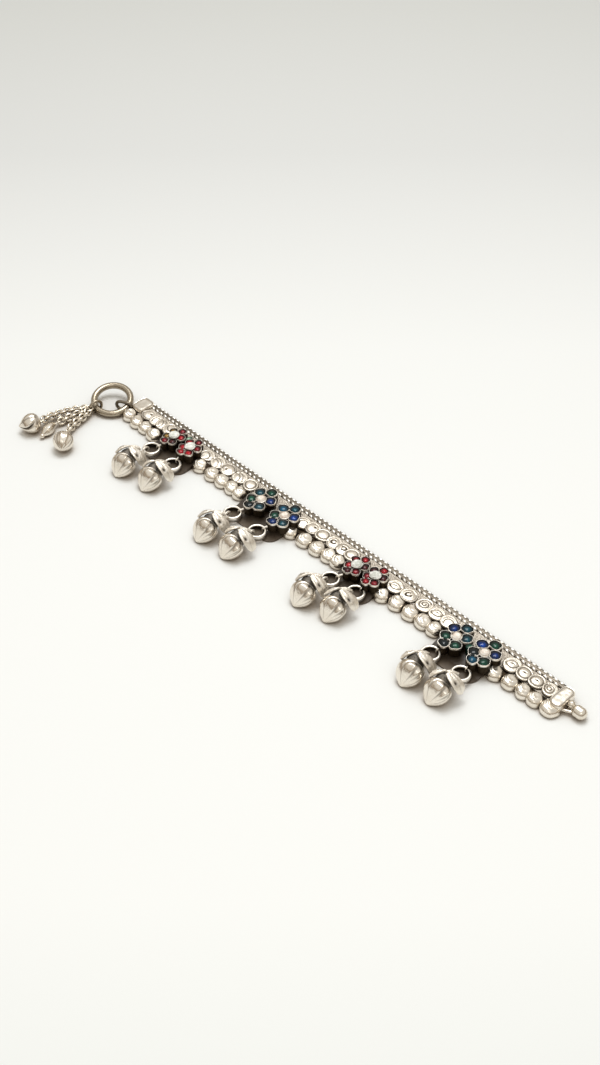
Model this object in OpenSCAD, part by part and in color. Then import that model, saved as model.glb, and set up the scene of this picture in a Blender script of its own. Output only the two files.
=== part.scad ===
// Silver anklet lying open and straight: a flat band of stamped discs, four pairs of
// jewelled flowers with a bud hanging from each, a closing ring with a tassel at the
// left end and a hook at the right end.
// The band runs along +X, the drops lie towards -Y and Z = 0 is the surface it lies on.
// Tables give places from the band's left end and back edge; place() then puts the
// origin under the middle of the whole anklet.

/* [Band] */
// Length of the band between the outer faces of its end caps
band_len = 223.5; // [222.8:0.1:224.2]
// Height of the backing strip
strip_h = 2.6; // [2:0.1:2.6]
// Height of the end caps
cap_h = 4.1; // [3.6:0.1:4.4]
// Radius of an oval disc on the inner row
oval_r = 3; // [2.6:0.1:3]
// Radius of a domed disc on the front row
front_r = 2.95; // [2.6:0.05:2.95]
// Height of a domed disc on the front row
front_h = 3.7; // [3:0.1:3.8]

/* [Flowers] */
// Size of a red flower as a share of a blue one
red_size = 0.8; // [0.74:0.01:0.8]
// Height of the cells' rims above the surface
rim_top = 6.6; // [6.2:0.1:7]
// Height of the cells' undersides above the surface
cell_low = 4.3; // [4.3:0.05:4.6]
// Outer radius of a petal's cell on a blue flower
cell_r = 2.05; // [1.95:0.05:2.1]
// Radius of a petal's stone on a blue flower
stone_r = 1.58; // [1.4:0.02:1.6]

/* [Drops] */
// Length of a bud from cap to tip
bud_len = 11; // [10:0.5:12]
// Largest radius of a bud
bud_r = 5; // [4.6:0.1:5.1]
// Radius of a drop ring to the middle of its wire
drop_ring_r = 3.2; // [3:0.1:3.3]
// Thickness of a drop ring's wire
drop_wire = 0.9; // [0.7:0.05:1]

/* [Closing] */
// Radius of the closing ring to the middle of its wire
close_r = 7.5; // [7.3:0.1:7.5]
// Radius of the closing ring's wire
close_wire_r = 1.35; // [1.1:0.05:1.4]
// Radius of the hook's peg
peg_r = 1.8; // [1.5:0.1:1.9]

/* [Hidden] */

$fn = 48;
// Gap left between pieces that lie against each other
gap = 0.08;

SILVER = [0.80, 0.78, 0.74];
DARK = [0.20, 0.17, 0.14];
CLEAR = [0.90, 0.89, 0.84];
RED = [0.55, 0.03, 0.08];
BLUE = [0.05, 0.20, 0.42];
GREEN = [0.12, 0.38, 0.22];

// Reach of the whole anklet from the band's left end and back edge
reach_left = -23.1;
reach_right = 231.95;
reach_front = -49.16;
reach_back = -0.1;

// Depth places of the band's rows, from its back edge
braid_back = reach_back;
braid_front = -2.8;
braid_r = 1.1;
strip_back = -2.9;
strip_front = -9.5;
plate_back = -9.6;
oval_y = -6.5;
front_y = -12.6;
corner_y = -11.6;

// Ends of the strip between the caps
cap_l = [0.1, 5];
cap_r = [band_len - 4.7, band_len];
strip_x = [cap_l[1] + gap, cap_r[0] - gap];

// Flowers: place, size, place of the ring below, tip of its bud and the bud's turn
FX = 0; FY = 1; FSIZE = 2; FRX = 3; FRY = 4; FTX = 5; FTY = 6; FTURN = 7;
RS = red_size;
FLOWERS = [
    // x,    y,     size, ring x, ring y, tip x, tip y, turn
    [30.0,  -11.0,  RS,   25.9,   -19.6,  27.8,  -40.2, 8],
    [39.6,  -11.0,  RS,   38.9,   -20.1,  40.7,  -38.0, 6],
    [81.2,  -12.0,  1,    76.1,   -22.2,  77.3,  -41.4, 2],
    [94.0,  -12.1,  1,    90.0,   -22.7,  90.4,  -40.7, -1],
    [131.5, -11.9,  RS,   126.9,  -21.0,  126.6, -38.8, 3],
    [140.1, -11.3,  RS,   138.1,  -19.5,  139.6, -36.5, 7],
    [179.8, -12.6,  1,    176.6,  -22.2,  178.4, -40.0, 8],
    [191.6, -11.5,  1,    190.0,  -21.7,  189.8, -38.5, 1]
];
function flower_xy(f) = [f[FX], f[FY]];
function ring_xy(f) = [f[FRX], f[FRY]];
function is_red(f) = f[FSIZE] < 1;

// Petals of a blue flower: direction from its middle and reach to the petal's middle
PANG = 0; PREACH = 1;
PETALS = [[141, 4.1], [87, 5.4], [29, 3.7], [-55, 4.0], [-104, 5.2], [-145, 3.7]];
LOW_PETAL = 4;
function petal_xy(f, p) = flower_xy(f) + f[FSIZE] * p[PREACH] * [cos(p[PANG]), sin(p[PANG])];

// Centre stones: radius, seat and height by kind; a red flower's stands over its petals
function centre_r(f) = is_red(f) ? 2.05 : 1.8;
function centre_seat(f) = is_red(f) ? 7.12 : 5.7;
function centre_h(f) = is_red(f) ? 1.0 : 1.75;
function collet_low(f) = is_red(f) ? 6.95 : cell_low;
collet_wall = 0.35;
function collet_top(f) = is_red(f) ? 7.5 : 6.8;
recess_depth = 1.1;
stone_fit = 0.05;
stone_rise = 1.35;

// Plates: left and right edge, front edge, by pair of flowers
XL = 0; XR = 1; YF = 2;
PLATES = [
    // left,  right, front
    [23.2,    44.0,  -22.4],
    [72.8,    97.0,  -22.8],
    [125.8,   143.0, -22.2],
    [173.2,   194.9, -22.6]
];
dome_r = 40;
dome_y = -4.5;
dome_z = 3.1 - dome_r;
rim_h = 0.6;
lobe_r = 3.7;
lobe_h = 1.2;
lobe_shift = [-1.0, 1.0];

// Small green stones beside the first and last pair: place and height of the foot
LEAF_STONES = [[34.8, -7.3, strip_h + gap], [185.4, -13.8, 2.3]];
leaf_r = 0.9;

// Places along the band of the discs, in five stretches between the flowers
OVALS = [
    [10.2, 14.3, 18.4, 22.5],
    [45.7, 51.4, 57.3, 64, 70],
    [102, 105.6, 110, 115.2, 119.4, 123.9],
    [146.6, 153, 160.3, 166, 171.3],
    [199.9, 205.2, 210.4, 215.3]
];
FRONTS = [
    [8.6, 13.9, 19.8],
    [47.3, 53.4, 59.4, 64.6, 69.5],
    [100.4, 106, 112.2, 117.6, 122.4],
    [146.4, 152.5, 159.2, 164.7, 169.9],
    [198.3, 203.9, 209.1, 214.2]
];
disc_lean = 5;
dimple_r = 0.5;

// Domed corner discs at the band's two front corners: place and radius
CORNERS = [[3.1, corner_y, 2.5], [220.2, -13.1, 2.9]];

// A bud's outline: share of its length from the cap and share of its radius
BUD = [[0, 0.24], [0.04, 0.5], [0.12, 0.78], [0.22, 0.94], [0.36, 1], [0.5, 0.99],
       [0.62, 0.93], [0.73, 0.81], [0.83, 0.61], [0.91, 0.38], [0.97, 0.17], [1, 0.05]];
bud_z = bud_r + 0.03;
bud_full = 0.36 * bud_len;
bud_droop = 4;
ring_z = 2.7;
ring_tall = 1.0;
bail_z = 3.35;
bail_r = 1.75;
bail_wire_r = 0.42;

// Leaves round a bud: turn about the bud, angle from the cap, length, width and spin on
// its own middle
LTURN = 0; LTILT = 1; LLEN = 2; LWIDE = 3; LSPIN = 4;
LEAVES = [[21, 65, 8.4, 5.2, 82], [111, 81, 6.6, 3.4, -21], [52, 44, 5.2, 4.0, 0]];
leaf_in = 2.6;
leaf_out = bud_r + 0.75;

// Eye wire that joins each flower to its ring
eye_r = 1.1;
eye_wire_r = 0.28;
eye_z = 2.85;

// Hook: ends and axis of its peg, neck, bead and tongue
peg_x = [band_len + 2.5, reach_right - peg_r];
peg_yz = [-6.1, 2.1];
neck_r = 1.1;
bead_at = [band_len + 1.35, -5.5, 3];
bead_r = 1.05;
tongue = [[band_len + 0.9, -8.7, 1.4], [band_len + 1.9, -6.8, 1.8]];
tongue_r = 0.5;

// Closing ring: centre and its slopes along X and Y
close_at = [-8.5, -11.25, 3.4];
close_slope = [-0.14, 0.167];
function close_z(p) = close_at[2] + close_slope * (p - [close_at[0], close_at[1]]);
function on_close(a) = [close_at[0], close_at[1]] + close_r * [cos(a), sin(a)];

// Eye loop that holds the closing ring: from its outer end to the cap
loop_from = [-5.5, -11.5];
loop_to = [0.55, -8.35];
loop_z = 2.72;
loop_half = 1.95;
loop_wire_r = 0.45;

// Tassel ring round the closing ring, and the wide link that carries the three chains
tassel_a = -103;
tassel_r = 2.55;
tassel_wire_r = 0.42;
tassel_at = concat(on_close(tassel_a), [close_z(on_close(tassel_a)) + 0.65]);
out_dir = [cos(tassel_a), sin(tassel_a)];
spread_r = 1.55;
spread_wire_r = 0.25;
spread_at = tassel_at + concat((tassel_r + 0.7) * out_dir, [-0.1]);

// Chain links: half length and half width to the middle of the wire, wire and pitch
link_a = 0.93;
link_b = 0.6;
link_wire_r = 0.22;
link_pitch = 1.27;
loop_step = 1.1;
tassel_loop_r = 0.76;
tassel_loop_wire_r = 0.22;

// Each chain's way: the angle at which it leaves the wide link, how far it keeps that
// direction, the point that its end comes from and its end
SOUT = 0; SREACH = 1; SFROM = 2; SEND = 3;
STRANDS = [
    [-142, 4.0, [-21.5, -36.5, 1.3], [-17.6, -41.0, 3.4]],
    [-100, 3.5, [-14.1, -32.5, 1.0], [-13.9, -36.9, 1.6]],
    [-58, 3.0, [-8.8, -33.5, 0.9], [-5.3, -37.4, 2.9]]
];
function bezier(p, t) =
    pow(1 - t, 3) * p[0] + 3 * t * pow(1 - t, 2) * p[1]
    + 3 * t * t * (1 - t) * p[2] + pow(t, 3) * p[3];
function strand_out(s) = [cos(s[SOUT]), sin(s[SOUT]), 0];
function strand_start(s) = spread_at + (spread_r + 0.26) * strand_out(s);
function strand_way(s) =
    let (start = strand_start(s), handle = start + s[SREACH] * strand_out(s) - [0, 0, 0.4])
    [for (k = [0:40]) bezier([start, handle, s[SFROM], s[SEND]], k / 40)];

// Walks along a line of points: length of its pieces, point and direction at a distance
function piece_len(w, i) = norm(w[i + 1] - w[i]);
function way_len(w, i = 0) = i >= len(w) - 1 ? 0 : piece_len(w, i) + way_len(w, i + 1);
function at_way(w, d, i = 0) =
    (d <= piece_len(w, i) || i >= len(w) - 2)
        ? w[i] + d / piece_len(w, i) * (w[i + 1] - w[i])
        : at_way(w, d - piece_len(w, i), i + 1);
function way_dir(w, d) = at_way(w, d + 0.7) - at_way(w, max(d - 0.7, 0));
function link_count(w) = floor((way_len(w) - loop_step) / link_pitch) + 1;

// Tassel drops: middle, place of the tip end, radius
TMID = 0; TTIP = 1; TR = 2;
TASSEL_DROPS = [
    [[-19.2, -45.0, 4.02], [-21.7, -49.0, 3.4], 3.95],
    [[-13.0, -41.2, 1.9], [-12.3, -44.9, 1.5], 1.8],
    [[-1.0, -42.7, 4.25], [2.3, -46.5, 3.6], 4.2]
];

module place() {
    translate([-(reach_left + reach_right) / 2, -(reach_front + reach_back) / 2, 0])
        children();
}

// Moves a shape to a point and turns its X axis along a direction
module along(p, d, roll = 0) {
    translate(p)
        rotate([0, -atan2(d[2], norm([d[0], d[1]])), atan2(d[1], d[0])])
            rotate([roll, 0, 0])
                children();
}

// Round rod between two points
module rod(p, q, r) {
    along(p, q - p) rotate([0, 90, 0]) cylinder(r = r, h = norm(q - p));
}

module torus(r, wire_r) {
    rotate_extrude() translate([r, 0]) circle(r = wire_r, $fn = 24);
}

module slab(x, y, z) {
    translate([x[0], y[0], z[0]]) cube([x[1] - x[0], y[1] - y[0], z[1] - z[0]]);
}

// Band

module mesh_band() {
    color(SILVER) slab(strip_x, [strip_front, strip_back], [0, strip_h]);
}

module braid_row(y) {
    translate([strip_x[0], y, 2])
        rotate([0, 90, 0]) cylinder(r = braid_r, h = strip_x[1] - strip_x[0]);
}

module edge_braid() {
    mid = (braid_back + braid_front) / 2;
    color(SILVER) {
        braid_row(braid_back - braid_r);
        braid_row(braid_front + braid_r);
        slab(strip_x, [mid - 0.6, mid + 0.6], [1.0, 3.0]);
    }
}

// One stamped disc: a raised rim, a sunk ring and a button with a dimple
module oval_disc(z) {
    translate([0, oval_y, z]) rotate([0, disc_lean, 0]) rotate_extrude()
        polygon([[0, 0.1], [oval_r - 0.5, 0.1], [oval_r, 0.5], [oval_r, 1], [oval_r - 0.45, 1.3],
                 [oval_r - 0.8, 1], [1.6, 1.05], [1.25, 1.3], [dimple_r, 1.45], [0, 1.1]]);
}

module oval_discs() {
    color(SILVER) for (stretch = OVALS) {
        for (x = stretch) translate([x, 0, 0]) oval_disc(strip_h + 0.3);
        slab([stretch[0], stretch[len(stretch) - 1]], [-8, -5], [strip_h + gap, strip_h + 0.6]);
    }
}

// One domed disc of the front row: a foot, a round side and a crown with a step
module front_disc(r) {
    rotate_extrude() polygon([
        [0, 0], [r * 0.8, 0], [r * 0.96, 0.6], [r, 1.4], [r * 0.95, 2.2], [r * 0.84, 2.7],
        [r * 0.74, 2.8], [r * 0.56, front_h - 0.3], [r * 0.3, front_h], [0, front_h]]);
}

module front_discs() {
    color(SILVER) for (stretch = FRONTS) {
        for (x = stretch) translate([x, front_y, 0]) front_disc(front_r);
        slab([stretch[0], stretch[len(stretch) - 1]], [-12, plate_back - 0.02], [0.3, 2.2]);
    }
}

// Ends

module end_cap(x, y) {
    difference() {
        intersection() {
            slab(x, y, [0, cap_h]);
            translate([(x[0] + x[1]) / 2, y[0] - 1, cap_h - 6])
                rotate([-90, 0, 0]) cylinder(r = 6, h = y[1] - y[0] + 2);
        }
        translate([(x[0] + x[1]) / 2, y[0] - 1, cap_h + 4.4])
            rotate([-90, 0, 0]) cylinder(r = 4.6, h = y[1] - y[0] + 2);
    }
}

module left_end() {
    way = concat(loop_to - loop_from, [0]);
    color(SILVER) {
        end_cap(cap_l, [-8.5, -0.6]);
        translate([CORNERS[0][0], CORNERS[0][1], 0]) front_disc(CORNERS[0][2]);
        slab([2, 4], [-10, -8], [0.3, 2.6]);
        along(concat(loop_from, [loop_z]), way, 90) eye_loop(norm(way));
    }
}

// Long round-ended eye: two straight wires and two half rings, starting at its near end
module eye_loop(reach) {
    for (end = [0, 1])
        translate([end * (reach - loop_half) + (1 - end) * loop_half, 0, 0])
            intersection() {
                torus(loop_half, loop_wire_r);
                translate([end * 5 - 5, -5, -5]) cube([5, 10, 10]);
            }
    for (side = [-1, 1])
        translate([loop_half, side * loop_half, 0])
            rotate([0, 90, 0]) cylinder(r = loop_wire_r, h = reach - 2 * loop_half, $fn = 24);
}

module right_end() {
    color(SILVER) {
        end_cap(cap_r, [-10.9, -1.5]);
        translate([CORNERS[1][0], CORNERS[1][1], 0]) front_disc(CORNERS[1][2]);
    }
}

// Hook: a neck with a bead on it, the round peg and a short tongue beside the neck
module hook() {
    color(SILVER) {
        rod(concat([band_len + gap], peg_yz), concat([peg_x[0] + 0.5], peg_yz), neck_r);
        translate(bead_at) sphere(r = bead_r);
        rod(concat([peg_x[0]], peg_yz), concat([peg_x[1]], peg_yz), peg_r);
        translate(concat([peg_x[1]], peg_yz)) sphere(r = peg_r);
        rod(tongue[0], tongue[1], tongue_r);
    }
}

module closing_ring() {
    color(SILVER) translate(close_at)
        along([0, 0, 0], [1, 0, close_slope[0]])
            rotate([atan(close_slope[1]), 0, 0]) torus(close_r, close_wire_r);
}

// Flowers

module dome(grow) {
    translate([-20, dome_y, dome_z]) rotate([0, 90, 0])
        cylinder(r = dome_r + grow, h = band_len + 40, $fn = 180);
}

module plate_outline(i) {
    p = PLATES[i];
    corner = 4.5;
    translate([p[XL], -15]) square([p[XR] - p[XL], plate_back + 15]);
    translate([p[XL] + corner, p[YF]]) square([p[XR] - p[XL] - 2 * corner, 8]);
    translate([p[XL], p[YF] + corner]) square([p[XR] - p[XL], 6]);
    for (x = [p[XL] + corner, p[XR] - corner])
        translate([x, p[YF] + corner]) circle(r = corner);
}

module plate(i) {
    first = 2 * i;
    color(DARK) {
        linear_extrude(rim_h) plate_outline(i);
        intersection() {
            linear_extrude(cell_low) plate_outline(i);
            dome(0);
        }
        for (f = [FLOWERS[first], FLOWERS[first + 1]])
            translate(concat(ring_xy(f) + lobe_shift, [0.2])) {
                cylinder(r = lobe_r, h = 0.5);
                cylinder(r = lobe_r - 1.2, h = lobe_h - 0.4);
            }
    }
}

module setting(i) {
    f = FLOWERS[i];
    s = f[FSIZE];
    low = petal_xy(f, PETALS[LOW_PETAL]);
    way = (low - ring_xy(f)) / norm(low - ring_xy(f));
    eye = ring_xy(f) + drop_ring_r * way;
    seat = rim_top - recess_depth;
    color(SILVER) {
        difference() {
            union() {
                for (p = PETALS)
                    translate(concat(petal_xy(f, p), [cell_low]))
                        cylinder(r = cell_r * s, h = rim_top - cell_low);
                translate(concat(flower_xy(f), [cell_low]))
                    cylinder(r = 1.5, h = centre_seat(f) - cell_low);
                translate(concat(flower_xy(f), [collet_low(f)]))
                    cylinder(r = centre_r(f) + collet_wall, h = collet_top(f) - collet_low(f));
                for (dy = [-1.7, 0, 1.7])
                    translate(concat(flower_xy(f) + [0, dy * s], [cell_low]))
                        cylinder(r = 3.3 * s, h = seat - cell_low + 0.3);
                difference() {
                    translate(concat(flower_xy(f) - [0, 0.5], [0]))
                        cylinder(r = 2.5 * s, h = cell_low + 0.5);
                    dome(gap);
                }
            }
            for (p = PETALS)
                translate(concat(petal_xy(f, p), [seat]))
                    cylinder(r = stone_r * s + stone_fit, h = recess_depth + 0.3);
            translate(concat(flower_xy(f), [centre_seat(f)]))
                cylinder(r = centre_r(f) + stone_fit, h = 3);
        }
        along(concat(eye, [eye_z]), concat(way, [0]), 90) torus(eye_r, eye_wire_r);
        rod(concat(eye + 0.2 * way, [cell_low - 0.05]), concat(low, [cell_low + 0.15]), 0.42);
    }
}

module petal_stones(i) {
    f = FLOWERS[i];
    r = stone_r * f[FSIZE];
    seat = rim_top - recess_depth + stone_fit;
    ball = 2.6 * f[FSIZE];
    color(is_red(f) ? RED : BLUE) for (p = PETALS)
        translate(concat(petal_xy(f, p), [seat])) intersection() {
            cylinder(r = r, h = stone_rise);
            translate([0, 0, stone_rise - ball]) sphere(r = ball);
        }
}

// Round cut stone: an eight-sided table, a crown of kite and corner facets, a straight
// girdle and a flat base
module cut_stone(r, h, crown) {
    table = [for (k = [0:7]) [0.56 * r * cos(45 * k), 0.56 * r * sin(45 * k), h]];
    girdle = [for (k = [0:15]) [r * cos(22.5 * k), r * sin(22.5 * k), h - crown]];
    base = [for (g = girdle) [g[0], g[1], 0]];
    faces = concat(
        [[for (k = [7:-1:0]) k]],
        [for (k = [0:7]) [k, 8 + 2 * k, 8 + (2 * k + 15) % 16]],
        [for (k = [0:7]) [k, 8 + 2 * k + 1, 8 + 2 * k]],
        [for (k = [0:7]) [k, (k + 1) % 8, 8 + 2 * k + 1]],
        [for (k = [0:15]) [8 + k, 8 + (k + 1) % 16, 24 + (k + 1) % 16, 24 + k]],
        [[for (k = [0:15]) 24 + k]]);
    polyhedron(points = concat(table, girdle, base), faces = faces);
}

module centre_stone(i) {
    f = FLOWERS[i];
    color(CLEAR)
        translate(concat(flower_xy(f), [centre_seat(f) + stone_fit]))
            cut_stone(centre_r(f), centre_h(f), 0.65);
}

// Small green stones, each domed and standing on a short foot
module leaf_stones() {
    color(GREEN) for (s = LEAF_STONES)
        translate([s[0], s[1], s[2]]) intersection() {
            cylinder(r = leaf_r, h = 6.2 - s[2]);
            translate([0, 0, 6.2 - s[2] - 4]) sphere(r = 4);
        }
}

// Drops

module drop_ring(i) {
    f = FLOWERS[i];
    color(SILVER) translate(concat(ring_xy(f), [ring_z])) rotate_extrude()
        translate([drop_ring_r, 0]) {
            square([drop_wire - 0.5, ring_tall], center = true);
            square([drop_wire, ring_tall - 0.5], center = true);
            for (x = [-1, 1], y = [-1, 1])
                translate([x * (drop_wire / 2 - 0.25), y * (ring_tall / 2 - 0.25)])
                    circle(r = 0.25, $fn = 24);
        }
}

// Pointed leaf outline lying along X
module leaf_outline(length, width) {
    r = (length * length + width * width) / (4 * width);
    intersection() {
        translate([0, r - width / 2]) circle(r = r, $fn = 96);
        translate([0, width / 2 - r]) circle(r = r, $fn = 96);
    }
}

// Leaf that hugs the bud: a pointed piece of a ball that stands a little proud of it
module leaf(l) {
    translate([0, 0, bud_full]) rotate([0, 0, l[LTURN]]) rotate([0, 180 - l[LTILT], 0])
        intersection() {
            sphere(r = leaf_out);
            translate([0, 0, leaf_in]) rotate(l[LSPIN]) linear_extrude(4)
                leaf_outline(l[LLEN], l[LWIDE]);
        }
}

module bud() {
    rotate_extrude() polygon(concat(
        [[0, 0]],
        [for (b = BUD) [b[1] * bud_r, b[0] * bud_len]],
        [[0, bud_len + 0.15]]));
}

module drop(i) {
    f = FLOWERS[i];
    way = [sin(f[FTURN]), -cos(f[FTURN])];
    cap = concat([f[FTX], f[FTY]] - bud_len * way, [bud_z + bud_full * sin(bud_droop)]);
    to_cap = [cap[0], cap[1]] - ring_xy(f);
    bail = concat(ring_xy(f) + drop_ring_r * to_cap / norm(to_cap), [bail_z]);
    neck = bail + concat(bail_r * to_cap / norm(to_cap), [0.3]);
    color(SILVER) {
        translate(cap) rotate([0, 0, f[FTURN]]) rotate([90 + bud_droop, 0, 0]) {
            bud();
            for (l = LEAVES) leaf(l);
            sphere(r = 1.5);
        }
        rod(neck, cap, 0.8);
        along(bail, concat(to_cap, [0]), 90) torus(bail_r, bail_wire_r);
    }
}

// Tassel

module tassel_ring() {
    color(SILVER) along(tassel_at, concat(out_dir, [0]), 90) torus(tassel_r, tassel_wire_r);
}

// Oval wire link lying along X, as a swept ring of ten stations with five sides
module chain_link(a, b, wire_r) {
    stations = 10;
    sides = 5;
    points = [for (i = [0:stations - 1], j = [0:sides - 1])
        let (t = 360 * i / stations, u = 360 * j / sides,
             out = [b * cos(t), a * sin(t)] / norm([b * cos(t), a * sin(t)]))
        [a * cos(t) + wire_r * cos(u) * out[0], b * sin(t) + wire_r * cos(u) * out[1],
         wire_r * sin(u)]];
    faces = [for (i = [0:stations - 1], j = [0:sides - 1])
        let (n = (i + 1) % stations, m = (j + 1) % sides)
        [i * sides + j, n * sides + j, n * sides + m, i * sides + m]];
    polyhedron(points = points, faces = [for (f = faces) [f[3], f[2], f[1], f[0]]]);
}

module tassel_chain() {
    color(SILVER) {
        translate(spread_at) torus(spread_r, spread_wire_r);
        for (s = STRANDS) {
            way = strand_way(s);
            for (k = [0:link_count(way) - 1])
                along(at_way(way, k * link_pitch), way_dir(way, k * link_pitch), 90 * ((k + 1) % 2))
                    chain_link(link_a, link_b, link_wire_r);
        }
    }
}

// Loop at a tassel drop's cap, linked with the chain's last link, and its neck
module tassel_loop(i) {
    way = strand_way(STRANDS[i]);
    last = link_count(way) - 1;
    at = at_way(way, last * link_pitch + loop_step);
    dir = way_dir(way, last * link_pitch + loop_step);
    mid = TASSEL_DROPS[i][TMID];
    along(at, dir, 90 * (last % 2)) torus(tassel_loop_r, tassel_loop_wire_r);
    rod(at + 0.75 * dir / norm(dir), mid, 0.4);
}

module tassel_drop_1() {
    d = TASSEL_DROPS[0];
    color(SILVER) {
        tassel_loop(0);
        difference() {
            along(d[TMID], d[TTIP] - d[TMID]) rotate([0, 90, 0]) rotate_extrude()
                polygon([[0, -4], [1.6, -3.7], [3.2, -2.4], [d[TR], -0.3], [d[TR] - 0.3, 1.5],
                         [2.6, 3.1], [1, 4.3], [0, 4.8]]);
            along(d[TMID], d[TTIP] - d[TMID], 40) difference() {
                translate([-1, -6, -0.25]) cube([8, 12, 0.5]);
                sphere(r = d[TR] - 0.5);
            }
        }
    }
}

module tassel_drop_2() {
    d = TASSEL_DROPS[1];
    color(SILVER) {
        tassel_loop(1);
        along(d[TMID], d[TTIP] - d[TMID]) rotate([0, 90, 0]) rotate_extrude()
            polygon([[0, -4.2], [0.7, -3.6], [1.5, -1.8], [d[TR], 0], [1.4, 1.8], [0.6, 3.4], [0, 3.6]]);
        translate(d[TTIP]) sphere(r = 0.95);
    }
}

module tassel_drop_3() {
    d = TASSEL_DROPS[2];
    color(SILVER) {
        tassel_loop(2);
        along(d[TMID], d[TTIP] - d[TMID]) rotate([0, 90, 0]) rotate_extrude()
            polygon([[0, -4.2], [1.8, -3.9], [3.5, -2.4], [d[TR], -0.2], [d[TR] - 0.3, 1.5],
                     [2.8, 3.2], [1.1, 4.5], [0, 5]]);
    }
}

// One line for each node

place() closing_ring();
place() left_end();
place() right_end();
place() hook();
place() mesh_band();
place() edge_braid();
place() oval_discs();
place() front_discs();
place() leaf_stones();
place() tassel_ring();
place() tassel_chain();
place() tassel_drop_1();
place() tassel_drop_2();
place() tassel_drop_3();
for (i = [0:3])
    place() plate(i);
for (i = [0:7]) {
    place() setting(i);
    place() petal_stones(i);
    place() centre_stone(i);
    place() drop_ring(i);
    place() drop(i);
}
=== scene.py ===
# %% [markdown]
# # A silver anklet, dressed for its portrait
# The anklet lies open on a white surface. It is a flat band of stamped silver discs with
# four pairs of jewelled flowers, a bud under each flower, a closing ring with a tassel at
# one end and a hook at the other. Its solid model comes ready made. This lesson adds what
# a solid leaves out: small links, relief, folds, glass, the silver's finish and the light.

# %% Load the solid model
import math
import bmesh
import bpy
import numpy as np
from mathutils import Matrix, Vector


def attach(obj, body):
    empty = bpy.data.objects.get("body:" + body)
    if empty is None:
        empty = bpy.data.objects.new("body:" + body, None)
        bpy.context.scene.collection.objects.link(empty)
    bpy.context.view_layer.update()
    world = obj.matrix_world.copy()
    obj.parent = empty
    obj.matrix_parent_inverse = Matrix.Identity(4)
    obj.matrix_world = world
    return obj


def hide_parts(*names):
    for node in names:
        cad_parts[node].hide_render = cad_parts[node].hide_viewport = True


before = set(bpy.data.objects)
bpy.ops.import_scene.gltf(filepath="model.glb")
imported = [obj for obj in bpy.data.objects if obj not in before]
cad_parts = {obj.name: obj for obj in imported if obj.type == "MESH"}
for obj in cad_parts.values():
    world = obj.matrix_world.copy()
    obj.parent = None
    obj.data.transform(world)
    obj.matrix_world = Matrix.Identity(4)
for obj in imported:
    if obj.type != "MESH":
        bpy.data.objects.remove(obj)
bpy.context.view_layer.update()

# %% [markdown]
# ## Measuring from the band
# A maker measures along the band, so each table here is in millimetres from the band's
# left end and its back edge. Blender works in metres round the middle of the anklet. One
# helper turns the first into the second, so that no other place has to think about it.

# %% Places on the band
BAND_CORNER = np.array([-104.425, 24.63, 0.0])


def to_metres(points):
    """Band millimetres to metres in the model's frame."""
    return (np.asarray(points, float).reshape(-1, 3) + BAND_CORNER) / 1000


def unit(v):
    """A vector of length one."""
    return np.asarray(v, float) / np.linalg.norm(v)


print("the band's left back corner is at", to_metres([0, 0, 0])[0].round(4), "m")

# %% [markdown]
# ## The flowers' table
# The flowers sit in four pairs: two pairs of small red ones and two of larger blue ones.
# Each row gives the flower's middle and size, the middle of the ring below it, the tip of
# its bud and how far the bud is turned, in degrees. All else about a flower is worked out
# from this. Hand work is never quite even, so a seeded chance shifts some small pieces.

# %% Flowers
FLOWERS = [
    # x, y, size, ring x, ring y, tip x, tip y, turn
    (30.0, -11.0, 0.8, 25.9, -19.6, 27.6, -39.2, 8),
    (39.6, -11.0, 0.8, 38.9, -20.1, 41.2, -37.4, 6),
    (81.2, -12.0, 1.0, 76.1, -22.2, 77.3, -41.4, 2),
    (94.0, -12.1, 1.0, 90.0, -22.7, 90.4, -40.7, -1),
    (131.5, -11.9, 0.8, 126.9, -21.0, 126.6, -38.8, 3),
    (140.1, -11.3, 0.8, 138.1, -19.5, 139.6, -36.5, 7),
    (179.8, -12.6, 1.0, 176.6, -22.2, 179.1, -39.2, 8),
    (191.6, -11.5, 1.0, 190.0, -21.7, 190.6, -38.9, 1),
]
PETALS = [(141, 4.1), (87, 5.4), (29, 3.7), (-55, 4.0), (-104, 5.2), (-145, 3.7)]  # angle, reach
DROP_RING = 3.2
chance = np.random.default_rng(11)


def petal_middle(flower, petal):
    """Where a petal's middle lies on the band."""
    angle, reach = math.radians(petal[0]), petal[1] * flower[2]
    return np.array([flower[0] + reach * math.cos(angle), flower[1] + reach * math.sin(angle)])


print(len(FLOWERS), "flowers of", len(PETALS), "petals")
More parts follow.
